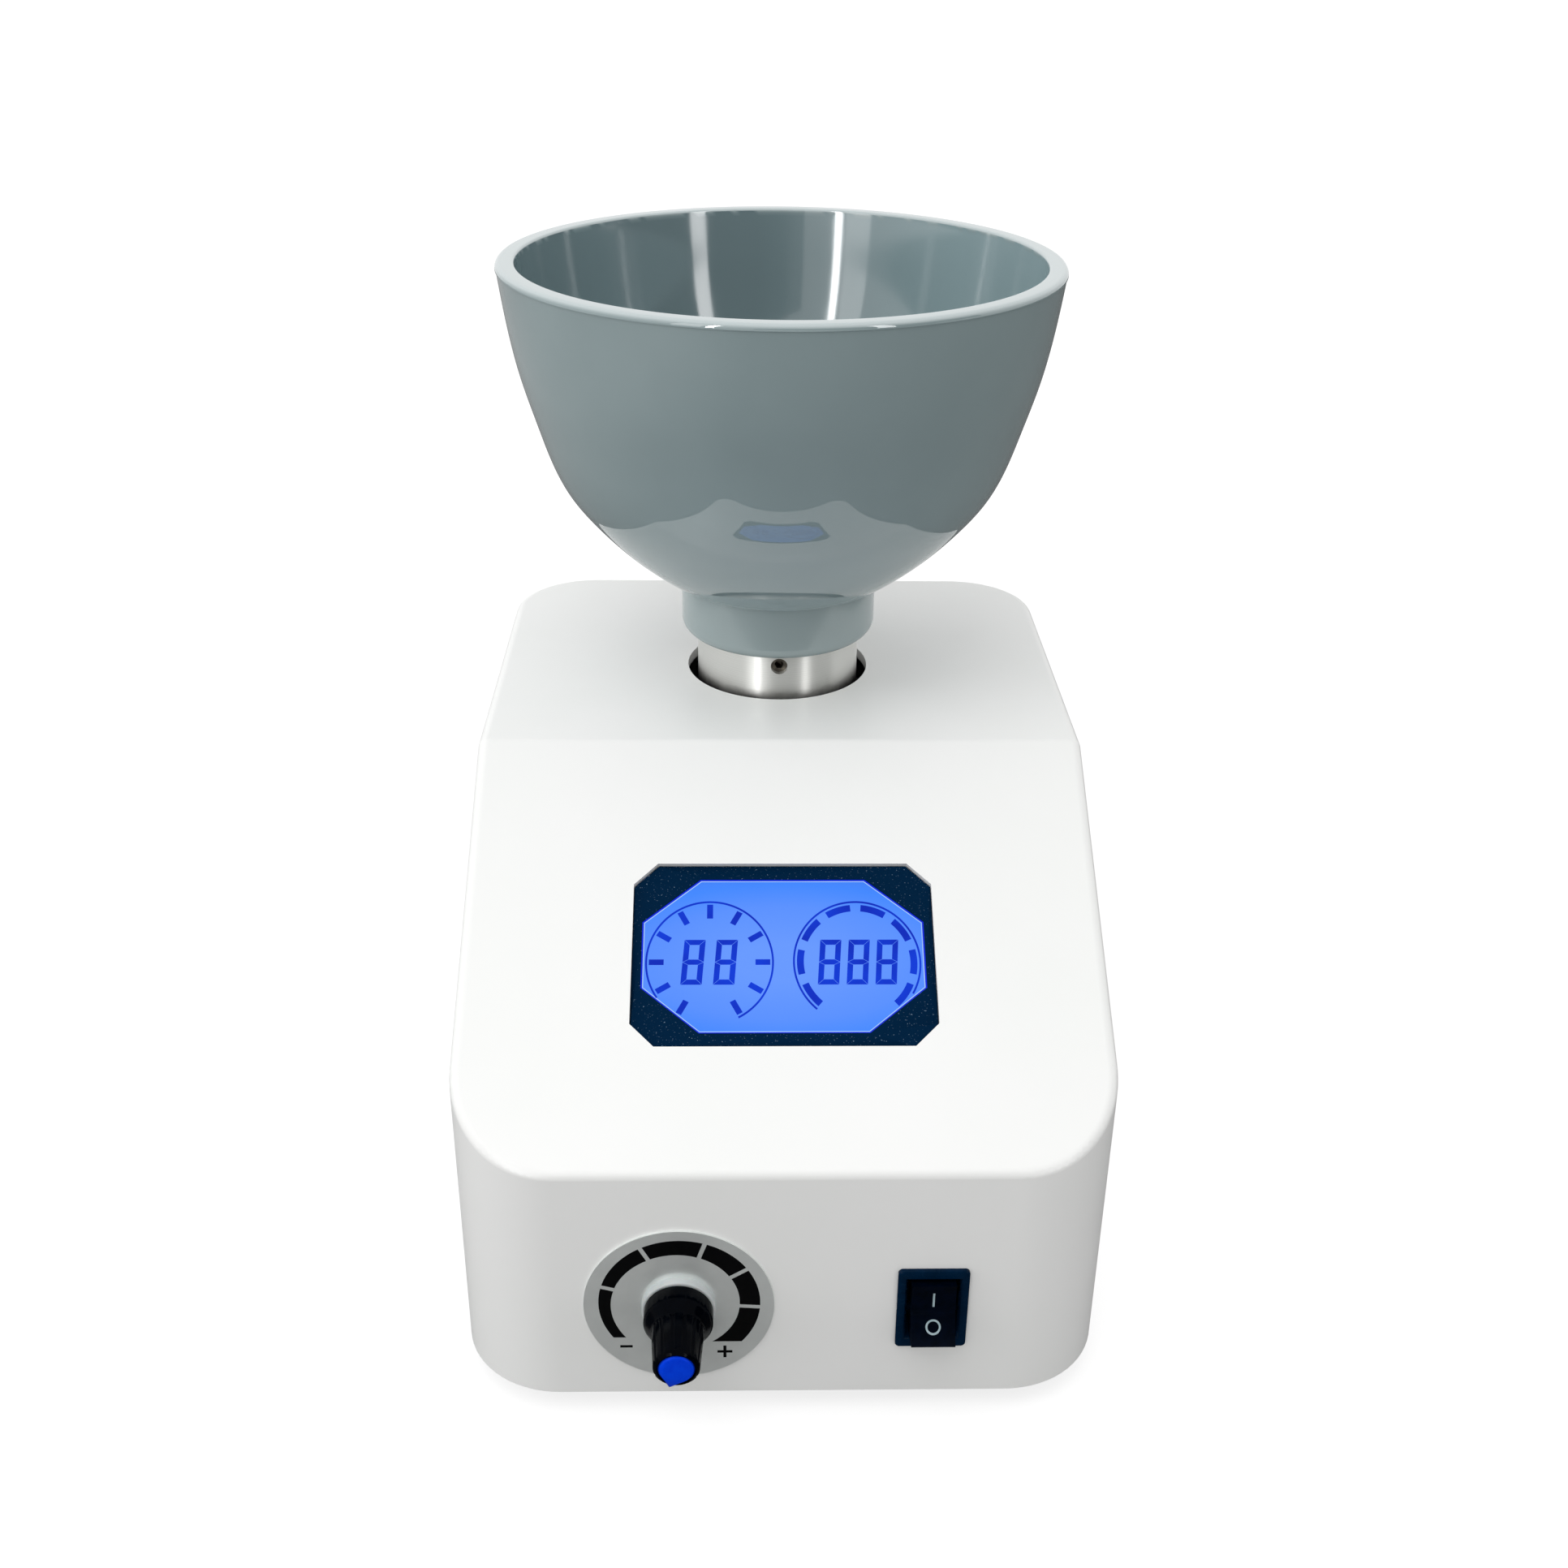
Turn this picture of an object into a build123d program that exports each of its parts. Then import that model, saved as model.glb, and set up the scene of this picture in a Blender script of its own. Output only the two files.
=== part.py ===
"""Bench-top mixer for dental impression material, in millimetres, +Z up.

A wedge-shaped moulded housing stands on four rubber feet.  Inside, a steel drive plate on four
standoffs carries a spindle in two ball bearings and a direct-current motor that turns it by a
V-belt.  The spindle's stainless hub comes out through the deck, and a rubber bowl is pushed over
it.  The front face has the speed knob and the rocker switch, the slope has the display, and the
back has the mains inlet.  The origin is under the middle of the whole machine, on the table.
"""
from build123d import *
from math import acos, atan2, cos, degrees, radians, sin, sqrt, tan
import os

os.makedirs("parts", exist_ok=True)

# ---------------------------------------------------------------- fits, shared by every piece
running_clearance = 0.05      # radial, shaft in its bore
seat_clearance = 0.02         # radial, pieces of one rigid group pushed together
loose_clearance = 0.3         # between pieces that move past each other
insert_clearance = 0.2        # around a piece let into an opening of the housing
screw_clearance = 0.25        # radial, screw through a plain hole

# ---------------------------------------------------------------- housing
housing_width = 140.0
housing_depth = 193.0
housing_height = 113.0        # lower edge to deck
front_height = 59.2           # lower edge to the crease above the front face
deck_start = 89.7             # front face to the crease where the level deck begins
front_corner_radius = 22.0
back_corner_radius = 21.0
edge_radius = 2.5             # rounding of the upper edges
wall = 2.5
foot_height = 6.0
corner_boss_radius = 4.5
corner_boss_height = 16.0
rib_thickness = 2.0
rib_depth = 6.0
boss_overlap = 0.6            # how far a corner boss runs into the wall beside it
pilot_share = 0.85            # radius of a pilot hole to the screw's

# ---------------------------------------------------------------- front controls and inlet, placed
dial_x = -22.2
dial_rise = 25.05             # above the housing's lower edge
switch_x = 31.1
switch_rise = 23.85
inlet_x = -22.0
inlet_rise = 34.0
knob_reach = 19.0             # front face to the outer end of the knob
inlet_flange_thickness = 2.5

# ---------------------------------------------------------------- spindle, hub and bowl
spindle_setback = 134.2       # front face to the spindle's axis
shaft_radius = 7.5
hub_radius = 20.0
hub_hole_radius = 22.5
hub_exposed = 10.4            # deck to the bowl's lower edge
socket_depth = 13.6           # how far the hub goes up into the bowl
hub_screw_rise = 7.6          # deck to the axis of the hub's set screw
hub_screw_radius = 2.0
hub_screw_length = 11.0
hub_edge = 1.0
bowl_rim_radius = 64.9
bowl_height = 90.2            # lower edge of the skirt to the rim
bowl_wall = 4.0
bowl_floor = 5.0
skirt_radius = 23.85
skirt_height = 14.1
skirt_edge_radius = 3.0
rim_edge_radius = 1.3
rim_band = 2.5                # upright part of the wall below the rim's face
# (share of the way from skirt to rim radius, share of the way from skirt to rim height)
belly_shape = [(0.0, 0.0), (0.178, 0.034), (0.447, 0.170), (0.766, 0.442), (0.957, 0.849), (1.0, 1.0)]
belly_start_direction = (1, 0, 0.15)
rim_direction = (0.13, 0, 1)

# ---------------------------------------------------------------- belt drive
pulley_headroom = 9.0         # deck's underside to the top of the driven pulley
pulley_width = 12.0
driven_pitch_radius = 32.0
motor_pitch_radius = 6.5
belt_thickness = 4.0
belt_top_width = 8.0
belt_base_width = 5.0
pulley_gap = 5.0              # bearing flange's screws to the driven pulley
lightening_holes = 6
lightening_hole_radius = 5.5
pulley_hub_wall = 6.0
pulley_rim_depth = 3.5        # solid metal under the belt's groove
web_thickness = 4.0
pulley_collar_gap = 3.5       # motor's nose to the collar of its pulley
collar_overlap = 0.5          # how far the collar runs into the pulley's lower flange
drive_clearance = 2.5         # least gap between the motor's side and the spindle's
drive_plate_thickness = 4.0
drive_plate_margin = 6.0      # standoff axis to the plate's edge
bearing_outer_radius = 16.0
bearing_width = 9.0
ball_radius = 2.3
balls_per_bearing = 8
race_clearance = 0.12
bearing_tube_wall = 6.0
bearing_tube_length = 46.0
bearing_flange_radius = 32.0
bearing_flange_thickness = 5.0
bearing_lip = 2.0             # shoulder between the two bearing seats
circlip_thickness = 1.2
circlip_reach = 2.5
circlip_gap = 3.0
shaft_groove = 1.0
shaft_tail = 5.0              # shaft below the lower bearing
spacer_wall = 3.0

# ---------------------------------------------------------------- motor
motor_radius = 21.0
motor_floor_gap = 8.0         # base plate to the motor's lower end
motor_wall = 2.0
motor_face = 6.0              # thick upper end of the can
motor_cap_height = 9.0
motor_cap_spigot = 4.0
motor_cap_floor = 2.0
motor_nose_radius = 8.0
motor_nose_height = 1.5       # above the drive plate
motor_shaft_radius = 2.5
motor_screw_circle = 14.5     # radius of the ring of motor screws
motor_screw_grip = 3.0        # thread inside the motor's face
armature_gap = 3.0            # armature to the can's wall
armature_end_gap = 6.0
armature_slots = 5
armature_slot = (5.0, 1.8)    # depth, width
terminal_blade = (0.8, 4.8, 5.0)
terminal_side = 12.0

# ---------------------------------------------------------------- base
base_thickness = 2.0
standoff_radius = 4.5
standoff_side = 54.0          # standoff axis from the middle plane
standoff_gap = 1.5            # rear standoff to the housing's corner boss
foot_radius = 8.0
foot_side = 50.0
foot_front = 26.0             # front foot's axis from the front face
foot_back = 35.0              # rear foot's axis from the back face
slot_length = 34.0
slot_width = 2.6
slot_pitch = 6.0
slot_count = 6
foot_chamfer = 1.0
foot_head_room = 0.8          # head of the foot's screw above the table
standoff_thread = 14.0
screw_grip = 8.0              # thread of a standoff's screw inside the standoff
base_screw_grip = 10.0
screw_tip = 1.0               # screw beyond its nut

# ---------------------------------------------------------------- metric fasteners
m3_radius = 1.5
m4_radius = 2.0
tapping_share = 0.8           # core of a self-tapping screw to its nominal radius
m3_head = (2.75, 2.0)         # head radius, head height
m4_head = (3.6, 2.6)
m4_nut_across = 7.0
m4_nut_height = 3.2
m3_nut_across = 5.5
m3_nut_height = 2.4

# ---------------------------------------------------------------- display
display_width = 65.2
display_height = 43.3
display_corner = 5.2
display_rise = 49.9           # up the slope from the front crease to the display's middle
display_recess = 1.0
display_lip = 5.0             # flange of the frame behind the wall
window_width = 61.5
window_height = 36.9
window_corner_x = 12.6
window_corner_y = 10.5
frame_depth = 6.0
glass_recess = 0.3
glass_thickness = 2.2
board_thickness = 1.6
display_screw_inset = 4.0
display_screw_grip = 5.0
display_pocket = 1.5          # glass and backlight beyond the window, each side
chip = (10.0, 10.0, 1.5)
chip_place = (-12.0, 4.0)
connector = (16.0, 5.0, 5.0)
connector_place = (18.0, -10.0)

# ---------------------------------------------------------------- dial, potentiometer and knob
dial_radius = 20.0
dial_thickness = 0.5
ring_radius = 7.8
ring_thickness = 1.7
ring_bore_radius = 6.4
pot_radius = 8.2
pot_depth = 9.0
pot_floor = 2.0
wafer_width = 13.0
wafer_reach = 3.0             # insulating wafer beyond the potentiometer's side
wafer_thickness = 1.6
lug_length = 5.0
lug_width = 1.6
lug_thickness = 0.8
lug_pitch = 4.0
shaft_flat = 1.4              # depth of the flat on the potentiometer's shaft
bushing_proud = 0.9           # thread beyond the nut
bushing_radius = 3.5
pot_shaft_radius = 3.0
pot_nut_across = 10.0
pot_nut_height = 2.0
skirt_top_radius = 5.7        # knob skirt where it meets the barrel
knob_skirt_radius = 7.25
knob_skirt_height = 3.2
knob_shoulder = 2.0
barrel_base_radius = 5.5
barrel_tip_radius = 4.8
knob_tip_round = 0.7
flute_count = 14
flute_radius = 0.5
flute_depth = 0.28
flute_start = 0.8             # smooth part of the barrel above the shoulder
barrel_step = 0.3
cap_radius = 3.8
cap_depth = 3.0
cap_bevel = 0.7
pointer_reach = 5.2
pointer_angle = 16.5          # degrees to the left of straight down, at the lowest speed

# ---------------------------------------------------------------- rocker switch
bezel_width = 15.0
bezel_height = 21.0
bezel_thickness = 1.0
bezel_corner = 1.0
opening_width = 10.8
opening_height = 15.8
switch_body_width = 12.8
switch_body_height = 18.8
switch_body_depth = 16.0
cavity_depth = 7.5
rocker_width = 9.3
rocker_half_height = 7.0
rocker_tilt = 14.0            # degrees each side of its middle position
rocker_pivot_depth = 0.5      # pivot behind the panel's face
rocker_valley = 3.2           # pivot to the middle of the hollow front
rocker_horn = 5.0             # pivot plane to the two raised ends
rocker_back = 2.4
trunnion_radius = 1.0
trunnion_end_gap = 0.2
dish_flare = 0.6              # widening of the bezel's opening at its face
dish_start = 0.2
latch = (6.0, 0.6, 4.0)
latch_sink = 0.25
switch_blade = (0.8, 4.8, 7.0)
switch_blade_pitch = 7.0

# ---------------------------------------------------------------- mains inlet
inlet_flange_width = 48.0
inlet_flange_height = 26.0
inlet_body_width = 27.0
inlet_body_height = 19.6
inlet_flange_corner = 4.0
inlet_body_depth = 20.0
socket_width = 23.0
socket_height = 15.8
socket_corner = 4.5
inlet_socket_depth = 16.5
inlet_screw_spacing = 40.0
inlet_head = (2.75, 1.6)      # head radius, head height
pin_thickness = 2.0
pin_width = 4.0
pin_spacing = 14.0
pin_offset = 2.0
pin_tail = 6.0
pin_setback = 1.0             # pin's end behind the housing's back face
inlet_screw_end = 3.0         # screw beyond the wall, through its nut

# ---------------------------------------------------------------- circuit boards
power_board = (34.0, 66.0)    # across, front to back
power_board_inset = 4.0       # board's edge to the housing's inner side wall
power_board_start = 78.0      # front face to the board's front edge
board_standoff_height = 6.0
board_standoff_radius = 3.0
board_hole_inset = 4.0
transformer_core = (24.0, 22.0, 20.0)
transformer_coil = (16.0, 28.0, 14.0)
capacitor_radius = 6.0
capacitor_height = 22.0
capacitor_pitch = 14.0
heat_sink_size = (18.0, 2.0, 24.0)
fin_count = 5
fin_size = (1.2, 6.0)

# ---------------------------------------------------------------- places worked out from the above
back_reach = max(
    housing_depth + inlet_flange_thickness + inlet_head[1], spindle_setback + bowl_rim_radius
)
front_y = -(back_reach - knob_reach) / 2
back_y = front_y + housing_depth
floor_z = foot_height
base_top = floor_z + base_thickness
deck_top = floor_z + housing_height
deck_under = deck_top - wall
slope_angle = atan2(housing_height - front_height, deck_start)
spindle_y = front_y + spindle_setback

hub_top = deck_top + hub_exposed + socket_depth
pulley_top = deck_under - pulley_headroom
pulley_bottom = pulley_top - pulley_width
belt_z = (pulley_top + pulley_bottom) / 2
plate_top = pulley_bottom - pulley_gap - bearing_flange_thickness
plate_under = plate_top - drive_plate_thickness
bearing_top = plate_top + bearing_flange_thickness
bearing_bottom = bearing_top - bearing_tube_length
bearing_tube_radius = bearing_outer_radius + bearing_tube_wall
driven_rim_radius = driven_pitch_radius + belt_thickness / 2
motor_rim_radius = motor_pitch_radius + belt_thickness / 2
drive_centres = drive_clearance + max(
    motor_radius + bearing_tube_radius, driven_rim_radius + motor_rim_radius
)
motor_y = spindle_y - drive_centres
motor_bottom = base_top + motor_floor_gap

# Local planes: x to the right as seen from outside, z out of the surface.
slope_plane = Plane(
    origin=(
        0,
        front_y + display_rise * cos(slope_angle),
        floor_z + front_height + display_rise * sin(slope_angle),
    ),
    x_dir=(1, 0, 0),
    z_dir=(0, -sin(slope_angle), cos(slope_angle)),
)


def front_plane(x, rise):
    """A plane on the front face, z towards the user."""
    return Plane(origin=(x, front_y, floor_z + rise), x_dir=(1, 0, 0), z_dir=(0, -1, 0))


def back_plane(x, rise):
    """A plane on the back face, z away from the machine."""
    return Plane(origin=(x, back_y, floor_z + rise), x_dir=(-1, 0, 0), z_dir=(0, 1, 0))


dial_plane = front_plane(dial_x, dial_rise)
switch_plane = front_plane(switch_x, switch_rise)
inlet_plane = back_plane(inlet_x, inlet_rise)


# ---------------------------------------------------------------- small shape functions
def save(name, shapes):
    """Write one solid, or a group of separate solids, as the sub-part's STEP file."""
    group = shapes if isinstance(shapes, list) else [shapes]
    solids = []
    for shape in group:
        solids.extend(shape.solids())
    result = solids[0] if len(solids) == 1 else Compound(children=solids)
    result.label = name
    export_step(result, f"parts/{name}.step")


def disc(radius, bottom, top):
    """A cylinder about Z between two heights."""
    return extrude(Plane.XY.offset(bottom) * Circle(radius), top - bottom)


def tube(outer, inner, bottom, top):
    """A hollow cylinder about Z between two heights."""
    return extrude(Plane.XY.offset(bottom) * (Circle(outer) - Circle(inner)), top - bottom)


def block(width, depth, bottom, top):
    """A box centred on Z between two heights."""
    return extrude(Plane.XY.offset(bottom) * Rectangle(width, depth), top - bottom)


def turned(points):
    """A solid of revolution about Z from (radius, height) points."""
    outline = make_face(Polyline(*[(r, 0, z) for r, z in points], close=True))
    return revolve(outline, Axis.Z)


def octagon(width, height, corner_x, corner_y):
    """A rectangle with its four corners cut off."""
    x, y = width / 2, height / 2
    return make_face(
        Polyline(
            (x - corner_x, y), (x, y - corner_y), (x, -y + corner_y), (x - corner_x, -y),
            (-x + corner_x, -y), (-x, -y + corner_y), (-x, y - corner_y), (-x + corner_x, y),
            close=True,
        )
    )


def hexagon(across_flats):
    """A regular hexagon by its width across flats."""
    return RegularPolygon(across_flats / 2, 6, major_radius=False)


def pan_screw(radius, head, length, socket=True):
    """A screw pointing down -Z with the underside of its head at z = 0."""
    head_radius, head_height = head
    screw = disc(radius, -length, 0) + disc(head_radius, 0, head_height)
    screw = fillet(screw.edges().filter_by(GeomType.CIRCLE).group_by(Axis.Z)[-1], head_height * 0.3)
    if socket:
        screw -= extrude(Plane.XY.offset(head_height * 0.4) * hexagon(radius * 1.2), head_height)
    return screw


def hex_nut(across_flats, height, radius):
    """A nut standing on z = 0."""
    return extrude(hexagon(across_flats), height) - disc(radius + seat_clearance, -1, height + 1)


def corners(half_x, half_y):
    """Four places, at plus and minus each half distance."""
    return [Pos(sx * half_x, sy * half_y) for sx in (-1, 1) for sy in (-1, 1)]


# ---------------------------------------------------------------- housing
def plan_outline(inset):
    """The housing seen from above, its side pulled in by inset."""
    half = housing_width / 2 - inset
    low = front_y + inset
    high = back_y - inset
    outline = Pos(0, (low + high) / 2) * Rectangle(2 * half, high - low)
    front = outline.vertices().group_by(Axis.Y)[0]
    outline = fillet(front, front_corner_radius - inset)
    back = outline.vertices().group_by(Axis.Y)[-1]
    return fillet(back, back_corner_radius - inset)


def side_outline(inset, bottom):
    """The housing seen from the side, its top, slope, front and back pulled in by inset."""
    drop = inset / cos(slope_angle)
    top = deck_top - inset
    low = front_y + inset
    rise = tan(slope_angle)
    front_z = floor_z + front_height + inset * rise - drop
    deck_y = front_y + (housing_height - front_height - inset + drop) / rise
    return make_face(
        Polyline(
            (0, low, bottom), (0, back_y - inset, bottom), (0, back_y - inset, top),
            (0, deck_y, top), (0, low, front_z), close=True,
        )
    )


def wedge(inset, bottom):
    """The solid wedge inside both outlines."""
    column = extrude(Plane.XY.offset(bottom) * plan_outline(inset), housing_height + foot_height)
    return column & extrude(side_outline(inset, bottom), housing_width, both=True)


def on_slope(shape):
    return slope_plane * shape


display_board_width = display_width + 2 * display_lip + 6 * m3_radius + 2 * display_screw_inset
display_board_height = display_height + 2 * display_lip
display_screw_x = display_board_width / 2 - display_screw_inset
display_screw_y = display_board_height / 2 - display_screw_inset
display_screw_spots = corners(display_screw_x, display_screw_y)
display_boss_radius = display_screw_inset - screw_clearance
board_front = -wall - frame_depth            # display board's face, below the slope's surface

pilot_radius = m3_radius * pilot_share
inlet_screw_spots = [Pos(side * inlet_screw_spacing / 2, 0) for side in (-1, 1)]

corner_boss_x = housing_width / 2 - front_corner_radius
boss_inset = wall + corner_boss_radius - boss_overlap
corner_boss_reach = (front_corner_radius - boss_inset) * sqrt(0.5)
rear_boss_reach = (back_corner_radius - boss_inset) * sqrt(0.5)
base_screw_spots = []
for side in (-1, 1):
    base_screw_spots.append(
        (side * (corner_boss_x + corner_boss_reach), front_y + front_corner_radius - corner_boss_reach)
    )
    base_screw_spots.append(
        (
            side * (housing_width / 2 - back_corner_radius + rear_boss_reach),
            back_y - back_corner_radius + rear_boss_reach,
        )
    )


def make_housing():
    """One moulding: wedge shell, openings, corner bosses, display bosses and deck ribs."""
    outer = wedge(0, floor_z)
    level_or_slope = outer.faces().filter_by(lambda f: f.normal_at().Z > 0.5)
    rim = [e for e in level_or_slope.edges() if e.center().Z > floor_z + 1]
    outer = fillet(rim, edge_radius)
    inner = wedge(wall, floor_z)
    shell = outer - inner

    for x, y in base_screw_spots:
        boss = tube(corner_boss_radius, pilot_radius, base_top, base_top + corner_boss_height)
        shell += (Pos(x, y) * boss) & wedge(wall / 2, floor_z)

    deck_ribs = []
    for side in (-1, 1):
        x = side * (hub_hole_radius + rib_thickness)
        rib_start = front_y + deck_start
        rib = Pos(x, (rib_start + back_y) / 2) * block(
            rib_thickness, back_y - rib_start, deck_under - rib_depth, deck_top - wall / 2
        )
        deck_ribs.append(rib & wedge(wall / 2, floor_z))
    shell += deck_ribs

    for spot in display_screw_spots:
        boss = disc(display_boss_radius, board_front, -wall / 2)
        boss -= disc(pilot_radius, board_front, -wall - 1)
        shell += on_slope(spot * boss)

    cut_width = display_width + 2 * insert_clearance
    cut_height = display_height + 2 * insert_clearance
    cut = octagon(cut_width, cut_height, display_corner, display_corner)
    shell -= on_slope(extrude(cut, wall * 2, both=True))
    shell -= Pos(0, spindle_y) * disc(hub_hole_radius, deck_under - wall, deck_top + wall)
    shell -= dial_plane * disc(bushing_radius + screw_clearance, -2 * wall, wall)
    cut = Rectangle(switch_body_width + 2 * insert_clearance, switch_body_height + 2 * insert_clearance)
    shell -= switch_plane * extrude(cut, 2 * wall, both=True)
    cut = Rectangle(inlet_body_width + 2 * insert_clearance, inlet_body_height + 2 * insert_clearance)
    shell -= inlet_plane * extrude(cut, 2 * wall, both=True)
    for spot in inlet_screw_spots:
        shell -= inlet_plane * (spot * disc(m3_radius + screw_clearance, -2 * wall, wall))
    return shell


save("housing", make_housing())


# ---------------------------------------------------------------- base plate, feet and their screws
def left_and_right(x, rows):
    """Places at plus and minus x in each of the rows."""
    return [Pos(side * x, y) for side in (-1, 1) for y in rows]


foot_spots = left_and_right(foot_side, (front_y + foot_front, back_y - foot_back))
standoff_front_y = motor_y - motor_radius + standoff_radius
rear_boss_y = back_y - back_corner_radius + rear_boss_reach
standoff_rear_y = rear_boss_y - corner_boss_radius - standoff_gap - standoff_radius
standoff_spots = left_and_right(standoff_side, (standoff_front_y, standoff_rear_y))
board_x = -(housing_width / 2 - wall - power_board_inset - power_board[0] / 2)
board_y = front_y + power_board_start + power_board[1] / 2
board_holes = [
    Pos(board_x, board_y) * spot
    for spot in corners(power_board[0] / 2 - board_hole_inset, power_board[1] / 2 - board_hole_inset)
]
board_under = base_top + board_standoff_height


def make_base_plate():
    """Pressed steel floor with two fields of air slots."""
    plate = extrude(Plane.XY.offset(floor_z) * plan_outline(wall + loose_clearance), base_thickness)
    hole_bottom = floor_z - 1
    hole_top = base_top + 1
    for x, y in base_screw_spots:
        plate -= Pos(x, y) * disc(m3_radius + screw_clearance, hole_bottom, hole_top)
    for spot in foot_spots + standoff_spots:
        plate -= spot * disc(m4_radius + screw_clearance, hole_bottom, hole_top)
    for spot in board_holes:
        plate -= spot * disc(m3_radius + screw_clearance, hole_bottom, hole_top)
    slot = SlotOverall(slot_length, slot_width)
    slot = extrude(Plane.XY.offset(hole_bottom) * slot, hole_top - hole_bottom)
    slot_first = front_y + foot_front - slot_pitch * (slot_count - 1) / 2
    for index in range(slot_count):
        plate -= Pos(0, slot_first + index * slot_pitch) * slot
        plate -= Pos(housing_width / 4, motor_y + index * slot_pitch) * slot
    return plate


foot_recess = m4_head[1] + foot_head_room
foot = disc(foot_radius, 0, foot_height)
foot = chamfer(foot.edges().group_by(Axis.Z)[0], foot_chamfer)
foot -= disc(m4_head[0] + loose_clearance, -1, foot_recess)
foot -= disc(m4_radius + screw_clearance, -1, foot_height + 1)
foot_screw_length = base_top - foot_recess + m4_nut_height + screw_tip
foot_screw = Pos(0, 0, foot_recess) * Rot(X=180) * pan_screw(m4_radius, m4_head, foot_screw_length)

save("base_plate", make_base_plate())
save("rubber_feet", [spot * foot for spot in foot_spots])
save("foot_screws", [spot * foot_screw for spot in foot_spots])
foot_nut = Pos(0, 0, base_top) * hex_nut(m4_nut_across, m4_nut_height, m4_radius)
save("foot_nuts", [spot * foot_nut for spot in foot_spots])
base_screw = pan_screw(m3_radius * tapping_share, m3_head, base_thickness + base_screw_grip)
base_screw = Pos(0, 0, floor_z) * Rot(X=180) * base_screw
save("base_screws", [Pos(x, y) * base_screw for x, y in base_screw_spots])


# ---------------------------------------------------------------- drive plate on standoffs
def make_drive_plate():
    """Thick steel plate that ties the spindle and the motor together at the belt's distance."""
    low = standoff_front_y - drive_plate_margin
    high = standoff_rear_y + drive_plate_margin
    outline = Pos(0, (low + high) / 2) * Rectangle(2 * (standoff_side + drive_plate_margin), high - low)
    outline = fillet(outline.vertices(), drive_plate_margin)
    plate = extrude(Plane.XY.offset(plate_under) * outline, drive_plate_thickness)
    below = plate_under - 1
    above = plate_top + 1
    plate -= Pos(0, spindle_y) * disc(bearing_tube_radius + screw_clearance, below, above)
    plate -= Pos(0, motor_y) * disc(motor_nose_radius + screw_clearance, below, above)
    for spot in standoff_spots:
        plate -= spot * disc(m4_radius + screw_clearance, below, above)
    for spot in motor_screw_spots:
        plate -= spot * disc(m3_radius + screw_clearance, below, above)
    for spot in bearing_screw_spots:
        plate -= spot * disc(m4_radius * pilot_share, below, above)
    return plate


motor_screw_spots = [
    Pos(0, motor_y) * Rot(Z=angle) * Pos(motor_screw_circle, 0) for angle in (45, 135, 225, 315)
]
bearing_screw_circle = (bearing_tube_radius + bearing_flange_radius) / 2
bearing_screw_spots = [
    Pos(0, spindle_y) * Rot(Z=angle) * Pos(bearing_screw_circle, 0) for angle in (45, 135, 225, 315)
]
standoff = disc(standoff_radius, base_top, plate_under)
standoff -= disc(m4_radius + seat_clearance, base_top - 1, base_top + standoff_thread)
standoff -= disc(m4_radius + seat_clearance, plate_under - standoff_thread, plate_under + 1)
lower_screw = pan_screw(m4_radius, m4_head, base_thickness + screw_grip)
lower_screw = Pos(0, 0, floor_z) * Rot(X=180) * lower_screw
upper_screw = Pos(0, 0, plate_top) * pan_screw(m4_radius, m4_head, drive_plate_thickness + screw_grip)
standoff_screws = [spot * screw for spot in standoff_spots for screw in (lower_screw, upper_screw)]

save("drive_plate", make_drive_plate())
save("standoffs", [spot * standoff for spot in standoff_spots])
save("standoff_screws", standoff_screws)


# ---------------------------------------------------------------- spindle bearings and their housing
lower_bearing = bearing_bottom
upper_bearing = bearing_top - bearing_width
pitch_radius = (shaft_radius + bearing_outer_radius) / 2
race_radius = ball_radius + race_clearance


def at_spindle(shape):
    return Pos(0, spindle_y) * shape


def bearing_rings():
    """Outer ring, inner ring and balls of one ball bearing standing on z = 0."""
    race = Pos(0, 0, bearing_width / 2) * Torus(pitch_radius, race_radius)
    land = ball_radius * 0.8
    outer = tube(bearing_outer_radius - seat_clearance, pitch_radius + land, 0, bearing_width) - race
    inner = tube(pitch_radius - land, shaft_radius + seat_clearance, 0, bearing_width) - race
    balls = []
    for index in range(balls_per_bearing):
        turn = Rot(Z=360 / balls_per_bearing * index)
        balls.append(turn * Pos(pitch_radius, 0, bearing_width / 2) * Sphere(ball_radius))
    return outer, inner, balls


outer_ring, inner_ring, ball_set = bearing_rings()
bearing_seats = [Pos(0, spindle_y, lower_bearing), Pos(0, spindle_y, upper_bearing)]
bearing_housing = turned(
    [
        (bearing_outer_radius, bearing_bottom),
        (bearing_tube_radius, bearing_bottom),
        (bearing_tube_radius, plate_top),
        (bearing_flange_radius, plate_top),
        (bearing_flange_radius, bearing_top),
        (bearing_outer_radius, bearing_top),
        (bearing_outer_radius, upper_bearing),
        (bearing_outer_radius - bearing_lip, upper_bearing),
        (bearing_outer_radius - bearing_lip, lower_bearing + bearing_width),
        (bearing_outer_radius, lower_bearing + bearing_width),
    ]
)
bearing_housing = at_spindle(bearing_housing)
for spot in bearing_screw_spots:
    bearing_housing -= spot * disc(m4_radius + screw_clearance, plate_top - 1, bearing_top + 1)
bearing_screw = Pos(0, 0, bearing_top) * pan_screw(
    m4_radius * tapping_share, m4_head, bearing_flange_thickness + drive_plate_thickness
)

save("bearing_housing", bearing_housing)
save("bearing_housing_screws", [spot * bearing_screw for spot in bearing_screw_spots])
save("bearing_outer_rings", [seat * outer_ring for seat in bearing_seats])
save("bearing_inner_rings", [seat * inner_ring for seat in bearing_seats])
save("bearing_balls", [seat * ball for seat in bearing_seats for ball in ball_set])


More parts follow.
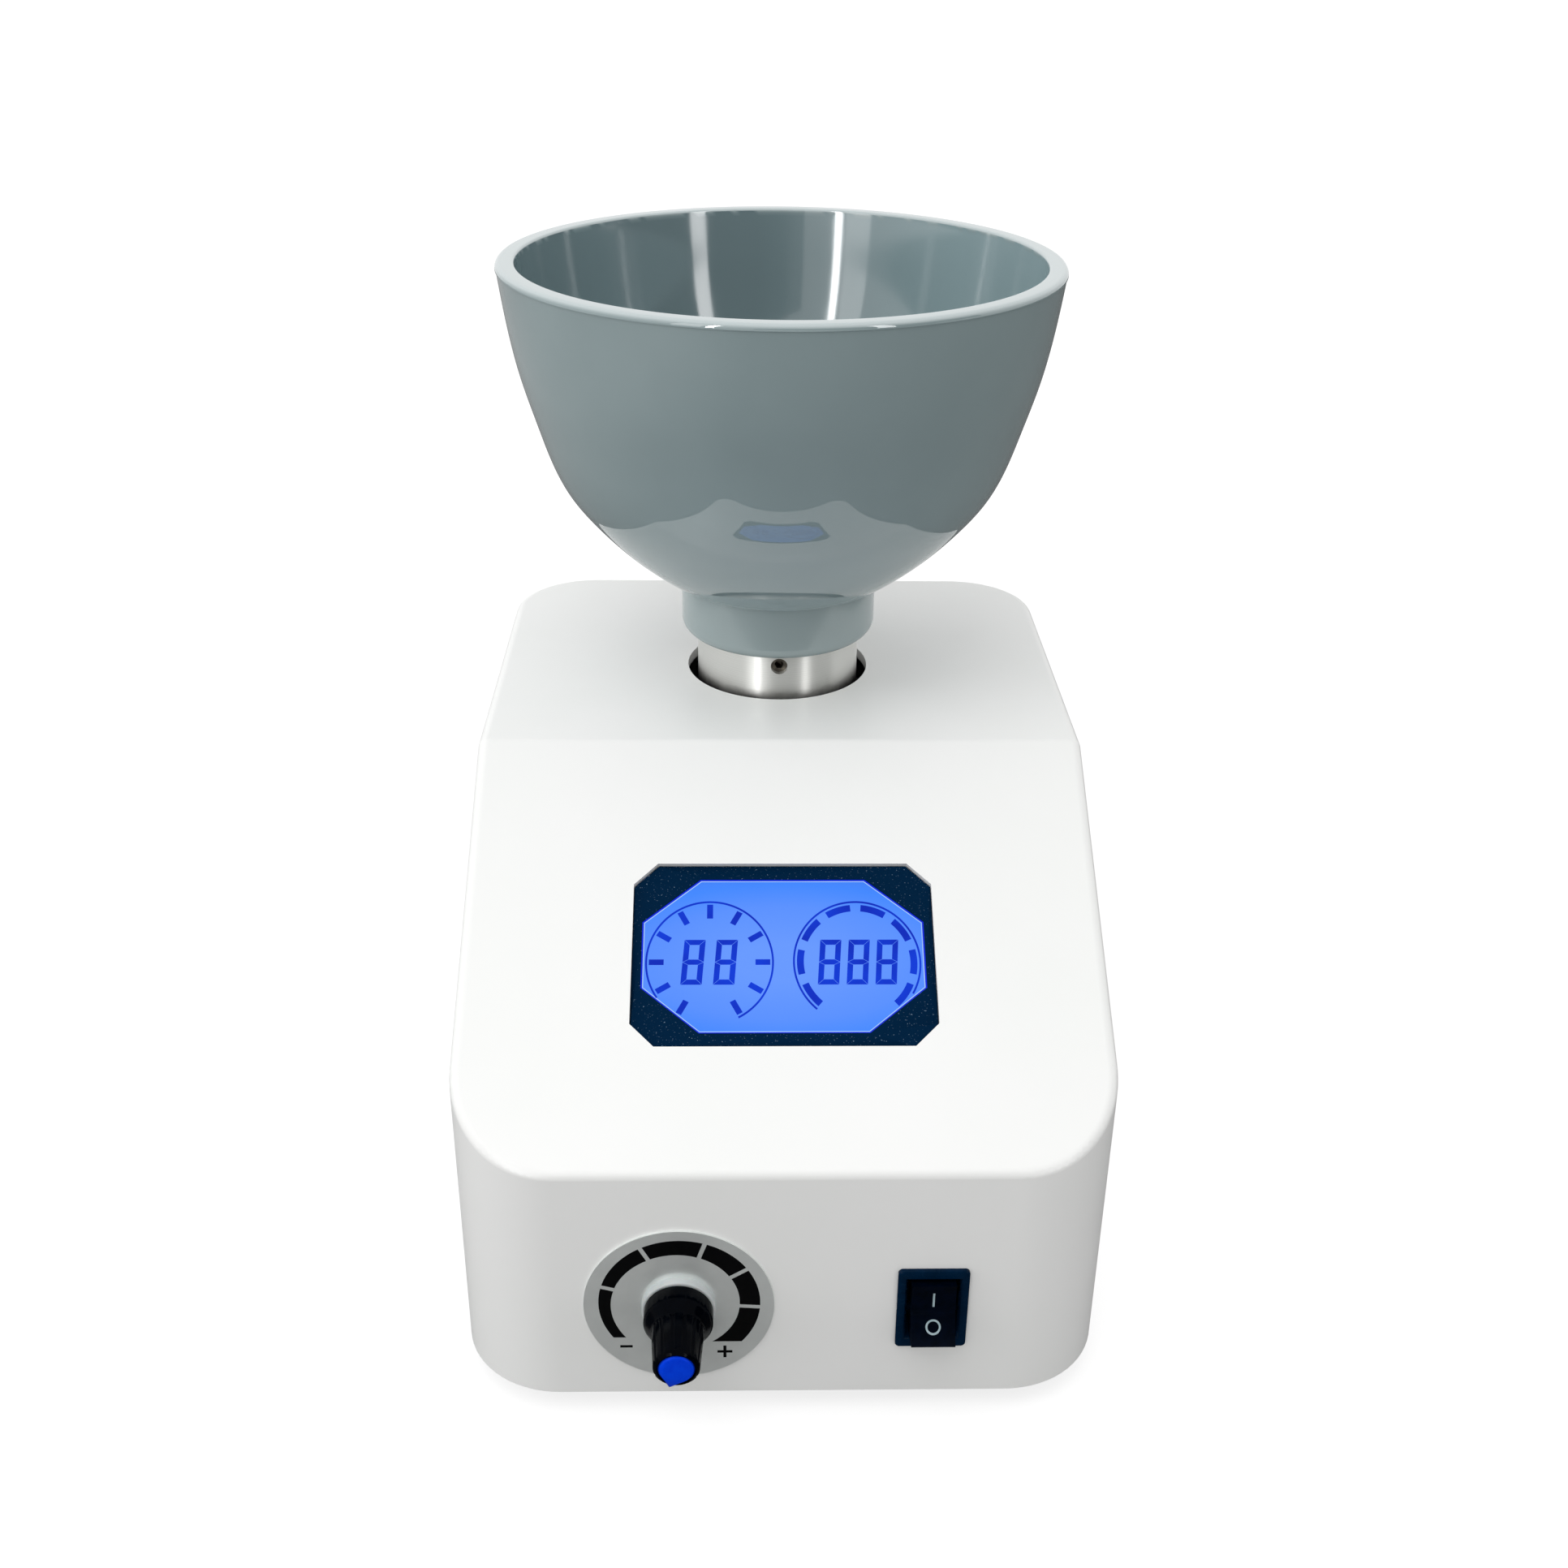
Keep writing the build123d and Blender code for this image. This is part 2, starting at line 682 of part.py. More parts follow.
# ---------------------------------------------------------------- pulleys
def groove_points(pitch, bore):
    """Half section of a V-pulley, (radius, height) from its lower to its upper face."""
    outer = pitch + belt_thickness / 2
    inner = pitch - belt_thickness / 2 - loose_clearance
    half_top = belt_top_width / 2 + loose_clearance
    half_base = belt_base_width / 2 + loose_clearance
    return [
        (bore, pulley_bottom), (outer, pulley_bottom), (outer, belt_z - half_top),
        (inner, belt_z - half_base), (inner, belt_z + half_base), (outer, belt_z + half_top),
        (outer, pulley_top), (bore, pulley_top),
    ]


def make_driven_pulley():
    """Cast wheel: rim with the V-groove, thin web with round openings, hub."""
    pulley = turned(groove_points(driven_pitch_radius, shaft_radius + seat_clearance))
    pulley_hub_radius = shaft_radius + pulley_hub_wall
    rim_inner = driven_pitch_radius - belt_thickness / 2 - pulley_rim_depth
    hollow = (pulley_width - web_thickness) / 2
    pulley -= tube(rim_inner, pulley_hub_radius, pulley_top - hollow, pulley_top + 1)
    pulley -= tube(rim_inner, pulley_hub_radius, pulley_bottom - 1, pulley_bottom + hollow)
    hole_circle = (rim_inner + pulley_hub_radius) / 2
    hole_radius = min(lightening_hole_radius, (rim_inner - pulley_hub_radius) / 2 - 1)
    for index in range(lightening_holes):
        turn = Rot(Z=360 / lightening_holes * index)
        pulley -= turn * Pos(hole_circle, 0) * disc(hole_radius, pulley_bottom, pulley_top)
    return pulley


collar_bottom = plate_top + motor_nose_height + pulley_collar_gap
motor_shaft_top = pulley_top
motor_pulley_bore = motor_shaft_radius + seat_clearance
motor_pulley = turned(groove_points(motor_pitch_radius, motor_pulley_bore))
motor_pulley += tube(motor_rim_radius, motor_pulley_bore, collar_bottom, pulley_bottom + collar_overlap)
grub_z = (collar_bottom + pulley_bottom) / 2
grub_hole = Plane(origin=(0, 0, grub_z), x_dir=(1, 0, 0), z_dir=(0, -1, 0))
motor_pulley -= grub_hole * disc(m3_radius + seat_clearance, 0, motor_rim_radius + 1)
motor_pulley = Pos(0, motor_y) * motor_pulley
grub_end = motor_rim_radius - screw_clearance
motor_grub = disc(m3_radius, motor_pulley_bore, grub_end)
motor_grub -= extrude(Plane.XY.offset(grub_end - m3_radius) * hexagon(m3_radius), m3_radius * 2)

save("driven_pulley", at_spindle(make_driven_pulley()))
save("motor_pulley", motor_pulley)
save("motor_pulley_grub_screw", Pos(0, motor_y) * (grub_hole * motor_grub))


# ---------------------------------------------------------------- V-belt
def make_belt():
    """Trapezoid section carried round both pulleys and along the two straight runs."""
    half_thick = belt_thickness / 2
    lean = acos((driven_pitch_radius - motor_pitch_radius) / drive_centres)
    run = sqrt(drive_centres**2 - (driven_pitch_radius - motor_pitch_radius) ** 2)

    def section(pitch):
        return make_face(
            Polyline(
                (pitch - half_thick, 0, -belt_base_width / 2),
                (pitch + half_thick, 0, -belt_top_width / 2),
                (pitch + half_thick, 0, belt_top_width / 2),
                (pitch - half_thick, 0, belt_base_width / 2),
                close=True,
            )
        )

    big_wrap = 360 - 2 * degrees(lean)
    small_wrap = 2 * degrees(lean)
    start = degrees(lean) - 90
    big = Rot(Z=start) * revolve(section(driven_pitch_radius), Axis.Z, big_wrap)
    small = Rot(Z=-90 - degrees(lean)) * revolve(section(motor_pitch_radius), Axis.Z, small_wrap)
    belt = Pos(0, spindle_y, belt_z) * big + Pos(0, motor_y, belt_z) * small
    for side, heading in ((start, -1), (-90 - degrees(lean), 1)):
        straight = extrude(section(driven_pitch_radius), run, dir=(0, heading, 0))
        belt += Pos(0, spindle_y, belt_z) * Rot(Z=side) * straight
    return belt


save("drive_belt", make_belt())


# ---------------------------------------------------------------- spindle shaft, hub and fasteners
shaft_top = deck_top + hub_exposed + socket_depth / 2
shaft_bottom = bearing_bottom - shaft_tail
circlip_z = bearing_bottom - circlip_thickness
groove_floor = shaft_radius - shaft_groove
groove = tube(shaft_radius + 1, groove_floor, circlip_z - running_clearance, bearing_bottom)
shaft = disc(shaft_radius, shaft_bottom, shaft_top) - groove
shaft = chamfer(shaft.edges().filter_by(GeomType.CIRCLE).group_by(Axis.Z)[0], hub_edge)
circlip = tube(shaft_radius + circlip_reach, groove_floor + seat_clearance, circlip_z, bearing_bottom)
circlip -= Pos(0, -shaft_radius) * block(circlip_gap, shaft_radius, circlip_z - 1, bearing_bottom + 1)
spacer = tube(shaft_radius + spacer_wall, shaft_radius + seat_clearance, bearing_top, pulley_bottom)

hub_screw_z = deck_top + hub_screw_rise
hub_screw_plane = Plane(origin=(0, 0, hub_screw_z), x_dir=(1, 0, 0), z_dir=(0, -1, 0))
hub = disc(hub_radius, pulley_top, hub_top)
hub = chamfer(hub.edges().group_by(Axis.Z)[-1], hub_edge)
hub -= disc(shaft_radius + seat_clearance, pulley_top - 1, shaft_top + seat_clearance)
hub -= hub_screw_plane * disc(hub_screw_radius + seat_clearance, 0, hub_radius + 1)
hub_screw_start = shaft_radius + seat_clearance
hub_screw = disc(hub_screw_radius, hub_screw_start, hub_screw_start + hub_screw_length)
hub_socket = Plane.XY.offset(hub_screw_start + hub_screw_length - hub_screw_radius)
hub_screw -= extrude(hub_socket * hexagon(hub_screw_radius), hub_screw_radius * 2)

save("spindle_shaft", at_spindle(shaft))
save("spindle_circlip", at_spindle(circlip))
save("spindle_spacer", at_spindle(spacer))
save("drive_hub", at_spindle(hub))
save("hub_set_screw", at_spindle(hub_screw_plane * hub_screw))


# ---------------------------------------------------------------- bowl
def make_bowl():
    """Rubber bowl: round belly, level rim, and a skirt whose socket slips over the hub."""
    skirt_bottom = deck_top + hub_exposed
    belly_bottom = skirt_bottom + skirt_height
    rim_z = skirt_bottom + bowl_height
    floor = hub_top + bowl_floor
    belly_top = rim_z - rim_band
    flare = bowl_rim_radius - skirt_radius
    rise = belly_top - belly_bottom
    outer = [(skirt_radius + u * flare, belly_bottom + v * rise) for u, v in belly_shape]
    inner = []
    for before, here, after in zip(outer[:-2], outer[1:-1], outer[2:]):
        along = Vector(after[0] - before[0], after[1] - before[1]).normalized()
        inner.append((here[0] - bowl_wall * along.Y, here[1] + bowl_wall * along.X))
    inner_rim = bowl_rim_radius - bowl_wall
    inner = [point for point in inner if point[1] > floor] + [(inner_rim, belly_top)]

    def lift(points):
        return [(r, 0, z) for r, z in points]

    socket_radius = hub_radius + loose_clearance
    outer_curve = Spline(*lift(outer), tangents=[belly_start_direction, rim_direction])
    inner_curve = Spline((0, 0, floor), *lift(inner), tangents=[(1, 0, 0), rim_direction])
    rim = Polyline(
        outer_curve @ 1, (bowl_rim_radius, 0, rim_z), (inner_rim, 0, rim_z), inner_curve @ 1
    )
    axis_edge = Line(inner_curve @ 0, (0, 0, hub_top))
    socket = Polyline((0, 0, hub_top), (socket_radius, 0, hub_top), (socket_radius, 0, skirt_bottom))
    foot_line = Polyline(
        (socket_radius, 0, skirt_bottom), (skirt_radius - skirt_edge_radius, 0, skirt_bottom)
    )
    corner = Line((skirt_radius, 0, skirt_bottom + skirt_edge_radius), outer_curve @ 0)
    edge_middle = skirt_edge_radius * (1 - sqrt(0.5))
    edge_arc = ThreePointArc(
        foot_line @ 1, (skirt_radius - edge_middle, 0, skirt_bottom + edge_middle), corner @ 0
    )
    outline = make_face(
        [
            outer_curve.edge(), *rim.edges(), inner_curve.edge(), axis_edge.edge(), *socket.edges(),
            foot_line.edge(), edge_arc.edge(), corner.edge(),
        ]
    )
    bowl = revolve(outline, Axis.Z)
    return fillet(bowl.edges().filter_by(GeomType.CIRCLE).group_by(Axis.Z)[-1], rim_edge_radius)


save("mixing_bowl", at_spindle(make_bowl()))


# ---------------------------------------------------------------- motor
def at_motor(shape):
    return Pos(0, motor_y) * shape


can_bottom = motor_bottom + motor_cap_height
motor_bore = motor_shaft_radius + running_clearance
nose_top = plate_top + motor_nose_height
motor_can = disc(motor_radius, can_bottom, plate_under)
motor_can = fillet(motor_can.edges().group_by(Axis.Z)[-1], motor_wall * 0.75)
motor_can += disc(motor_nose_radius, plate_under - 1, nose_top)
motor_can -= disc(motor_radius - motor_wall, can_bottom - 1, plate_under - motor_face)
motor_can -= disc(motor_bore, plate_under - motor_face - 1, nose_top + 1)
motor_can = at_motor(motor_can)
for spot in motor_screw_spots:
    motor_can -= spot * disc(m3_radius + seat_clearance, plate_under - motor_face + 1, plate_under + 1)
motor_cap = disc(motor_radius - motor_wall / 4, motor_bottom, can_bottom)
motor_cap += disc(motor_radius - motor_wall - seat_clearance, can_bottom - 1, can_bottom + motor_cap_spigot)
motor_cap = chamfer(motor_cap.edges().group_by(Axis.Z)[0], motor_wall * 0.75)
motor_cap -= disc(motor_bore, motor_bottom + motor_cap_floor, can_bottom + motor_cap_spigot + 1)
armature_top = plate_under - motor_face - armature_end_gap
armature_bottom = can_bottom + motor_cap_spigot + armature_end_gap
armature_radius = motor_radius - motor_wall - armature_gap
slot_depth, slot_gap = armature_slot
armature = tube(armature_radius, motor_pulley_bore, armature_bottom, armature_top)
armature_cut = block(slot_depth, slot_gap, armature_bottom - 1, armature_top + 1)
for index in range(armature_slots):
    turn = Rot(Z=360 / armature_slots * index)
    armature -= turn * Pos(armature_radius - slot_depth / 2 + 1, 0) * armature_cut
motor_shaft = disc(motor_shaft_radius, motor_bottom + motor_cap_floor + loose_clearance, motor_shaft_top)
blade_width, blade_depth, blade_length = terminal_blade
terminal = block(blade_width, blade_depth, motor_bottom - blade_length, motor_bottom)
motor_screw = pan_screw(m3_radius, m3_head, drive_plate_thickness + motor_screw_grip)
motor_screw = Pos(0, 0, plate_top) * motor_screw

save("motor_can", motor_can)
save("motor_end_cap", at_motor(motor_cap))
save("motor_terminals", [at_motor(Pos(side * terminal_side, 0) * terminal) for side in (-1, 1)])
save("motor_screws", [spot * motor_screw for spot in motor_screw_spots])
save("motor_armature", at_motor(armature))
save("motor_shaft", at_motor(motor_shaft))


# ---------------------------------------------------------------- display, built flat, laid on the slope
flange_top = -wall
frame_outline = octagon(display_width, display_height, display_corner, display_corner)
frame_outer = extrude(Plane.XY.offset(flange_top) * frame_outline, wall - display_recess)
frame_back = block(
    display_width + 2 * display_lip, display_height + 2 * display_lip, board_front, flange_top
)
display_frame = frame_outer + frame_back
window = octagon(window_width, window_height, window_corner_x, window_corner_y)
display_frame -= extrude(Plane.XY.offset(board_front) * window, -board_front)
glass_top = -display_recess - glass_recess
glass_bottom = flange_top - glass_thickness
pocket_width = window_width + 2 * display_pocket
pocket_height = window_height + 2 * display_pocket
display_frame -= block(pocket_width, pocket_height, board_front, flange_top)
glass_nose = octagon(
    window_width - 2 * running_clearance, window_height - 2 * running_clearance, window_corner_x,
    window_corner_y,
)
glass = extrude(Plane.XY.offset(flange_top) * glass_nose, glass_top - flange_top)
layer_width = pocket_width - 2 * running_clearance
layer_height = pocket_height - 2 * running_clearance
glass += block(layer_width, layer_height, glass_bottom, flange_top)
backlight = block(layer_width, layer_height, board_front, glass_bottom)
board_back = board_front - board_thickness
board = block(display_board_width, display_board_height, board_back, board_front)
for spot in display_screw_spots:
    board -= spot * disc(m3_radius + screw_clearance, board_back - 1, board_front + 1)


def board_part(size, place, top):
    """A block hanging from the back of a board."""
    width, depth, height = size
    return Pos(*place) * block(width, depth, top - height, top)


display_parts = [board_part(chip, chip_place, board_back), board_part(connector, connector_place, board_back)]
display_screw = pan_screw(m3_radius * tapping_share, m3_head, board_thickness + display_screw_grip)
display_screw = Pos(0, 0, board_back) * Rot(X=180) * display_screw

save("display_frame", on_slope(display_frame))
save("display_glass", on_slope(glass))
save("display_backlight", on_slope(backlight))
save("display_board", on_slope(board))
save("display_board_parts", [on_slope(part) for part in display_parts])
save("display_screws", [on_slope(spot * display_screw) for spot in display_screw_spots])


# ---------------------------------------------------------------- dial, potentiometer and knob
nut_top = dial_thickness + pot_nut_height
bushing_end = nut_top + bushing_proud
knob_start = dial_thickness + ring_thickness + loose_clearance
barrel_start = knob_start + knob_skirt_height + knob_shoulder
knob_end = knob_reach - cap_bevel * 0.5
knob_bore = pot_shaft_radius + seat_clearance
recess_top = bushing_end + loose_clearance
cap_seat = Plane.XY.offset(knob_end - cap_depth)

dial_plate = tube(dial_radius, bushing_radius + screw_clearance, 0, dial_thickness)
dial_ring = tube(ring_radius, ring_bore_radius, dial_thickness, dial_thickness + ring_thickness)
dial_ring = fillet(dial_ring.edges().group_by(Axis.Z)[-1], ring_thickness * 0.3)
pot_back = -wall - pot_depth
pot_body = disc(pot_radius, pot_back, -wall) + disc(bushing_radius, -wall - 1, bushing_end)
pot_body -= disc(pot_shaft_radius + running_clearance, pot_back + pot_floor, bushing_end + 1)
pot_nut = Pos(0, 0, dial_thickness) * hex_nut(pot_nut_across, pot_nut_height, bushing_radius)
lug_z = -wall - pot_depth / 2
pot_body += Pos(0, -pot_radius, lug_z) * Box(wafer_width, 2 * wafer_reach, wafer_thickness)
lug = Box(lug_width, lug_length, lug_thickness)
lug = Pos(0, -pot_radius - wafer_reach - lug_length / 2, lug_z) * lug
shaft_end = knob_end - cap_depth - running_clearance
flat_start = recess_top + pot_shaft_radius / 2
pot_shaft = disc(pot_shaft_radius, pot_back + pot_floor + loose_clearance, shaft_end)


def shaft_flat_cut(radius):
    """What the flat takes off a round of this radius."""
    width = 2 * radius
    return Pos(0, width - shaft_flat) * block(2 * width, width, flat_start, shaft_end + 1)


pot_shaft -= shaft_flat_cut(pot_shaft_radius)


def cap_outline(extra):
    """Round cap with one pointed side, towards -y."""
    tip = (0, -pointer_reach - extra)
    grip = acos((cap_radius + extra) / (pointer_reach + extra))
    touch_x = (cap_radius + extra) * sin(grip)
    touch_y = -(cap_radius + extra) * cos(grip)
    point = make_face(Polyline((0, 0), (touch_x, touch_y), tip, (-touch_x, touch_y), close=True))
    return Circle(cap_radius + extra) + point


def make_knob():
    """Flared skirt, fluted tapering barrel, pocket for the cap and a D-shaped bore."""
    knob = turned(
        [
            (0, knob_start), (knob_skirt_radius, knob_start),
            (knob_skirt_radius, knob_start + knob_skirt_height),
            (skirt_top_radius, barrel_start), (barrel_base_radius, barrel_start + barrel_step),
            (barrel_tip_radius, knob_end - knob_tip_round),
            (barrel_tip_radius - knob_tip_round, knob_end), (0, knob_end),
        ]
    )
    lean = degrees(atan2(barrel_base_radius - barrel_tip_radius, knob_end - barrel_start))
    middle = (barrel_start + knob_end) / 2
    middle_radius = (barrel_base_radius + barrel_tip_radius) / 2 + flute_radius - flute_depth
    flute = Rot(Y=-lean) * Cylinder(flute_radius, knob_end - barrel_start)
    flute = Pos(middle_radius, 0, middle + flute_start) * flute
    for index in range(flute_count):
        knob -= Rot(Z=360 / flute_count * (index + 0.5)) * flute
    knob -= disc(knob_bore, knob_start - 1, shaft_end + seat_clearance) - shaft_flat_cut(knob_bore)
    knob -= disc(ring_bore_radius - seat_clearance, knob_start - 1, recess_top)
    knob -= extrude(cap_seat * cap_outline(running_clearance), cap_depth + 1)
    return knob


knob_cap = extrude(cap_seat * cap_outline(0), knob_reach - knob_end + cap_depth)
knob_cap = chamfer(knob_cap.edges().group_by(Axis.Z)[-1], cap_bevel)
pointer_turn = Rot(Z=-pointer_angle)

save("dial_plate", dial_plane * dial_plate)
save("dial_ring", dial_plane * dial_ring)
save("potentiometer", dial_plane * pot_body)
save("potentiometer_lugs", [dial_plane * (Pos(side * lug_pitch, 0) * lug) for side in (-1, 0, 1)])
save("potentiometer_nut", dial_plane * pot_nut)
save("potentiometer_shaft", dial_plane * pointer_turn * pot_shaft)
save("speed_knob", dial_plane * pointer_turn * make_knob())
save("knob_cap", dial_plane * pointer_turn * knob_cap)


# ---------------------------------------------------------------- rocker switch
def make_switch_body():
    """Snap-in case: bezel with a dished opening, deep cavity, trunnion holes and side latches."""
    bezel = fillet(Rectangle(bezel_width, bezel_height).vertices(), bezel_corner)
    bezel = extrude(bezel, bezel_thickness)
    bezel = chamfer(bezel.edges().group_by(Axis.Z)[-1], bezel_thickness * 0.3)
    body = bezel + block(switch_body_width, switch_body_height, -switch_body_depth, 0)
    body -= block(opening_width, opening_height, -cavity_depth, bezel_thickness + 1)
    dish = loft(
        [
            Plane.XY.offset(dish_start) * Rectangle(opening_width, opening_height),
            Plane.XY.offset(bezel_thickness)
            * Rectangle(opening_width + 2 * dish_flare, opening_height + 2 * dish_flare),
        ]
    )
    body -= dish
    pivot_hole = Rot(Y=90) * Cylinder(trunnion_radius + running_clearance, switch_body_width * 2)
    body -= Pos(0, 0, -rocker_pivot_depth) * pivot_hole
    for side in (-1, 1):
        latch_y = side * (switch_body_height / 2 - latch_sink)
        body += Pos(0, latch_y, -wall - latch[2] / 2 - insert_clearance) * Box(*latch)
    return body


def make_rocker():
    """Rocker with a hollow front, ends cut to an arc about the pivot, and two trunnions."""
    arc_radius = sqrt(rocker_half_height**2 + rocker_back**2)
    upper_back = (0, rocker_half_height, -rocker_back)
    lower_back = (0, -rocker_half_height, -rocker_back)
    upper_horn = (0, rocker_half_height, rocker_horn)
    lower_horn = (0, -rocker_half_height, rocker_horn)
    outline = make_face(
        [
            ThreePointArc(upper_horn, (0, 0, rocker_valley), lower_horn),
            Line(lower_horn, lower_back),
            Line(lower_back, upper_back),
            Line(upper_back, upper_horn),
        ]
    )
    rocker = extrude(outline, rocker_width / 2, both=True)
    swing_room = Rot(Y=90) * Cylinder(arc_radius, rocker_width * 2)
    behind = block(rocker_width * 2, 4 * rocker_half_height, -2 * rocker_back, 0)
    rocker -= behind - swing_room
    rocker += Rot(Y=90) * Cylinder(trunnion_radius, switch_body_width - 2 * trunnion_end_gap)
    return Pos(0, 0, -rocker_pivot_depth) * Rot(X=-rocker_tilt) * rocker


blade_width, blade_depth, blade_length = switch_blade
blade = block(blade_width, blade_depth, -switch_body_depth - blade_length, -switch_body_depth)
blade_spots = [Pos(0, side * switch_blade_pitch / 2) for side in (-1, 1)]
save("switch_body", switch_plane * make_switch_body())
save("switch_rocker", switch_plane * make_rocker())
save("switch_terminals", [switch_plane * (spot * blade) for spot in blade_spots])


# ---------------------------------------------------------------- mains inlet
def make_inlet():
    """Three-pin appliance inlet with a flat flange; two lower corners of the socket are cut off."""
    flange = fillet(Rectangle(inlet_flange_width, inlet_flange_height).vertices(), inlet_flange_corner)
    flange = extrude(flange, inlet_flange_thickness)
    body = flange + block(inlet_body_width, inlet_body_height, -inlet_body_depth, 0)
    x, y = socket_width / 2, socket_height / 2
    mouth = make_face(
        Polyline((x, -y), (x, y - socket_corner), (x - socket_corner, y), (-x + socket_corner, y),
                 (-x, y - socket_corner), (-x, -y), close=True)
    )
    socket_floor = inlet_flange_thickness - inlet_socket_depth
    body -= extrude(Plane.XY.offset(socket_floor) * mouth, inlet_socket_depth + 1)
    for spot in inlet_screw_spots:
        body -= spot * disc(m3_radius + screw_clearance, -1, inlet_flange_thickness + 1)
    slot_thickness = pin_thickness + 2 * seat_clearance
    slot_width = pin_width + 2 * seat_clearance
    for spot in inlet_pin_spots:
        body -= spot * block(slot_thickness, slot_width, -inlet_body_depth - 1, socket_floor + 1)
    return body


inlet_pin_spots = [Pos(0, pin_offset)] + [Pos(side * pin_spacing / 2, -pin_offset) for side in (-1, 1)]
inlet_pin = block(pin_thickness, pin_width, -inlet_body_depth - pin_tail, -pin_setback)
inlet_screw = Pos(0, 0, inlet_flange_thickness) * pan_screw(
    m3_radius, inlet_head, inlet_flange_thickness + wall + inlet_screw_end
)
inlet_nut = Pos(0, 0, -wall - m3_nut_height) * hex_nut(m3_nut_across, m3_nut_height, m3_radius)

save("inlet_body", inlet_plane * make_inlet())
save("inlet_pins", [inlet_plane * (spot * inlet_pin) for spot in inlet_pin_spots])
save("inlet_screws", [inlet_plane * (spot * inlet_screw) for spot in inlet_screw_spots])
save("inlet_nuts", [inlet_plane * (spot * inlet_nut) for spot in inlet_screw_spots])


# ---------------------------------------------------------------- power board beside the drive
board_top = board_under + board_thickness
power_plate = block(power_board[0], power_board[1], board_under, board_top)
for spot in corners(power_board[0] / 2 - board_hole_inset, power_board[1] / 2 - board_hole_inset):
    power_plate -= spot * disc(m3_radius + screw_clearance, board_under - 1, board_top + 1)
board_post = tube(board_standoff_radius, m3_radius + seat_clearance, base_top, board_under)
board_screw = Pos(0, 0, board_top) * pan_screw(
    m3_radius, m3_head, board_thickness + board_standoff_height + base_thickness
)
transformer_y = (fin_size[1] - heat_sink_size[1]) / 2


def on_board(size, lift):
    """A block standing on the power board, raised by lift."""
    width, depth, height = size
    return block(width, depth, board_top + lift, board_top + lift + height)


coil_lift = (transformer_core[2] - transformer_coil[2]) / 2
transformer = on_board(transformer_core, 0) + on_board(transformer_coil, coil_lift)
transformer = Pos(0, transformer_y) * transformer
capacitor = disc(capacitor_radius, board_top, board_top + capacitor_height)
capacitor = fillet(capacitor.edges().group_by(Axis.Z)[-1], capacitor_radius * 0.15)
capacitor_y = transformer_y - transformer_coil[1] / 2 - capacitor_radius - 1
heat_sink_y = transformer_y + transformer_coil[1] / 2 + heat_sink_size[1]
heat_sink = on_board(heat_sink_size, 0)
fin = on_board((*fin_size, heat_sink_size[2]), 0)
fin_pitch = (heat_sink_size[0] - fin_size[0]) / (fin_count - 1)
for index in range(fin_count):
    heat_sink += Pos((index - (fin_count - 1) / 2) * fin_pitch, fin_size[1] / 2) * fin
board_place = Pos(board_x, board_y)

save("power_board", board_place * power_plate)
save("power_board_posts", [spot * board_post for spot in board_holes])
save("power_board_screws", [spot * board_screw for spot in board_holes])
save("power_transformer", board_place * transformer)
capacitor_spots = [Pos(side * capacitor_pitch / 2, capacitor_y) for side in (-1, 1)]
save("power_capacitors", [board_place * (spot * capacitor) for spot in capacitor_spots])
save("power_heat_sink", board_place * Pos(0, heat_sink_y) * heat_sink)
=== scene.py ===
"""The looks of a bench-top mixer for dental impression material, in metres, +Z up.

The file follows the machine as it is put together: floor and feet, the drive inside, the mains
side, the white housing with its display, dial, knob and switch, then the hub and the rubber bowl.
"""

import bmesh
import bpy
import numpy as np
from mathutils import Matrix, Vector


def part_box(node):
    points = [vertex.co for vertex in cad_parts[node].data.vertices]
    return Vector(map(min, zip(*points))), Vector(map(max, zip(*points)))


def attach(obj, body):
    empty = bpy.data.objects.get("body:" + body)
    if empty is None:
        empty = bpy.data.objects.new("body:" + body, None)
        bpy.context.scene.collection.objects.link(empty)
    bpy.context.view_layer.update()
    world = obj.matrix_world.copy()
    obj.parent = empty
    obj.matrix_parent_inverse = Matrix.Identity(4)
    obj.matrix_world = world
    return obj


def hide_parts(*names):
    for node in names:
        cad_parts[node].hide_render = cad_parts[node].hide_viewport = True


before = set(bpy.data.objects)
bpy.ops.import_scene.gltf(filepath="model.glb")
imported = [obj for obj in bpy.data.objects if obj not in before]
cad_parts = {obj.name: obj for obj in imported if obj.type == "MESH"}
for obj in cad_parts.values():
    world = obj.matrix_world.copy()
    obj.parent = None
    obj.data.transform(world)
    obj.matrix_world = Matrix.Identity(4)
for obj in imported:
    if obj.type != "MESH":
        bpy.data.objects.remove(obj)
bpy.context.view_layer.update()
MM = 0.001


# ---------------------------------------------------------------- base plate
# The floor of the machine: a sheet of mild steel, pressed, slotted and zinc plated, so it is a
# dull bluish grey with the cloudy crystals that the plating bath leaves.
def linear(code):
    """An sRGB hex code as linear red, green, blue and alpha: each channel c below 0.04045 is
    divided by 12.92, and any other is ((c + 0.055) / 1.055) to the power 2.4."""
    channels = np.array([int(code[i:i + 2], 16) for i in (1, 3, 5)]) / 255
    low, high = channels / 12.92, ((channels + 0.055) / 1.055) ** 2.4
    return (*np.where(channels <= 0.04045, low, high).tolist(), 1.0)


def grey(level):
    """A level from 0 to 1 as a grey colour."""
    return (level, level, level, 1.0)


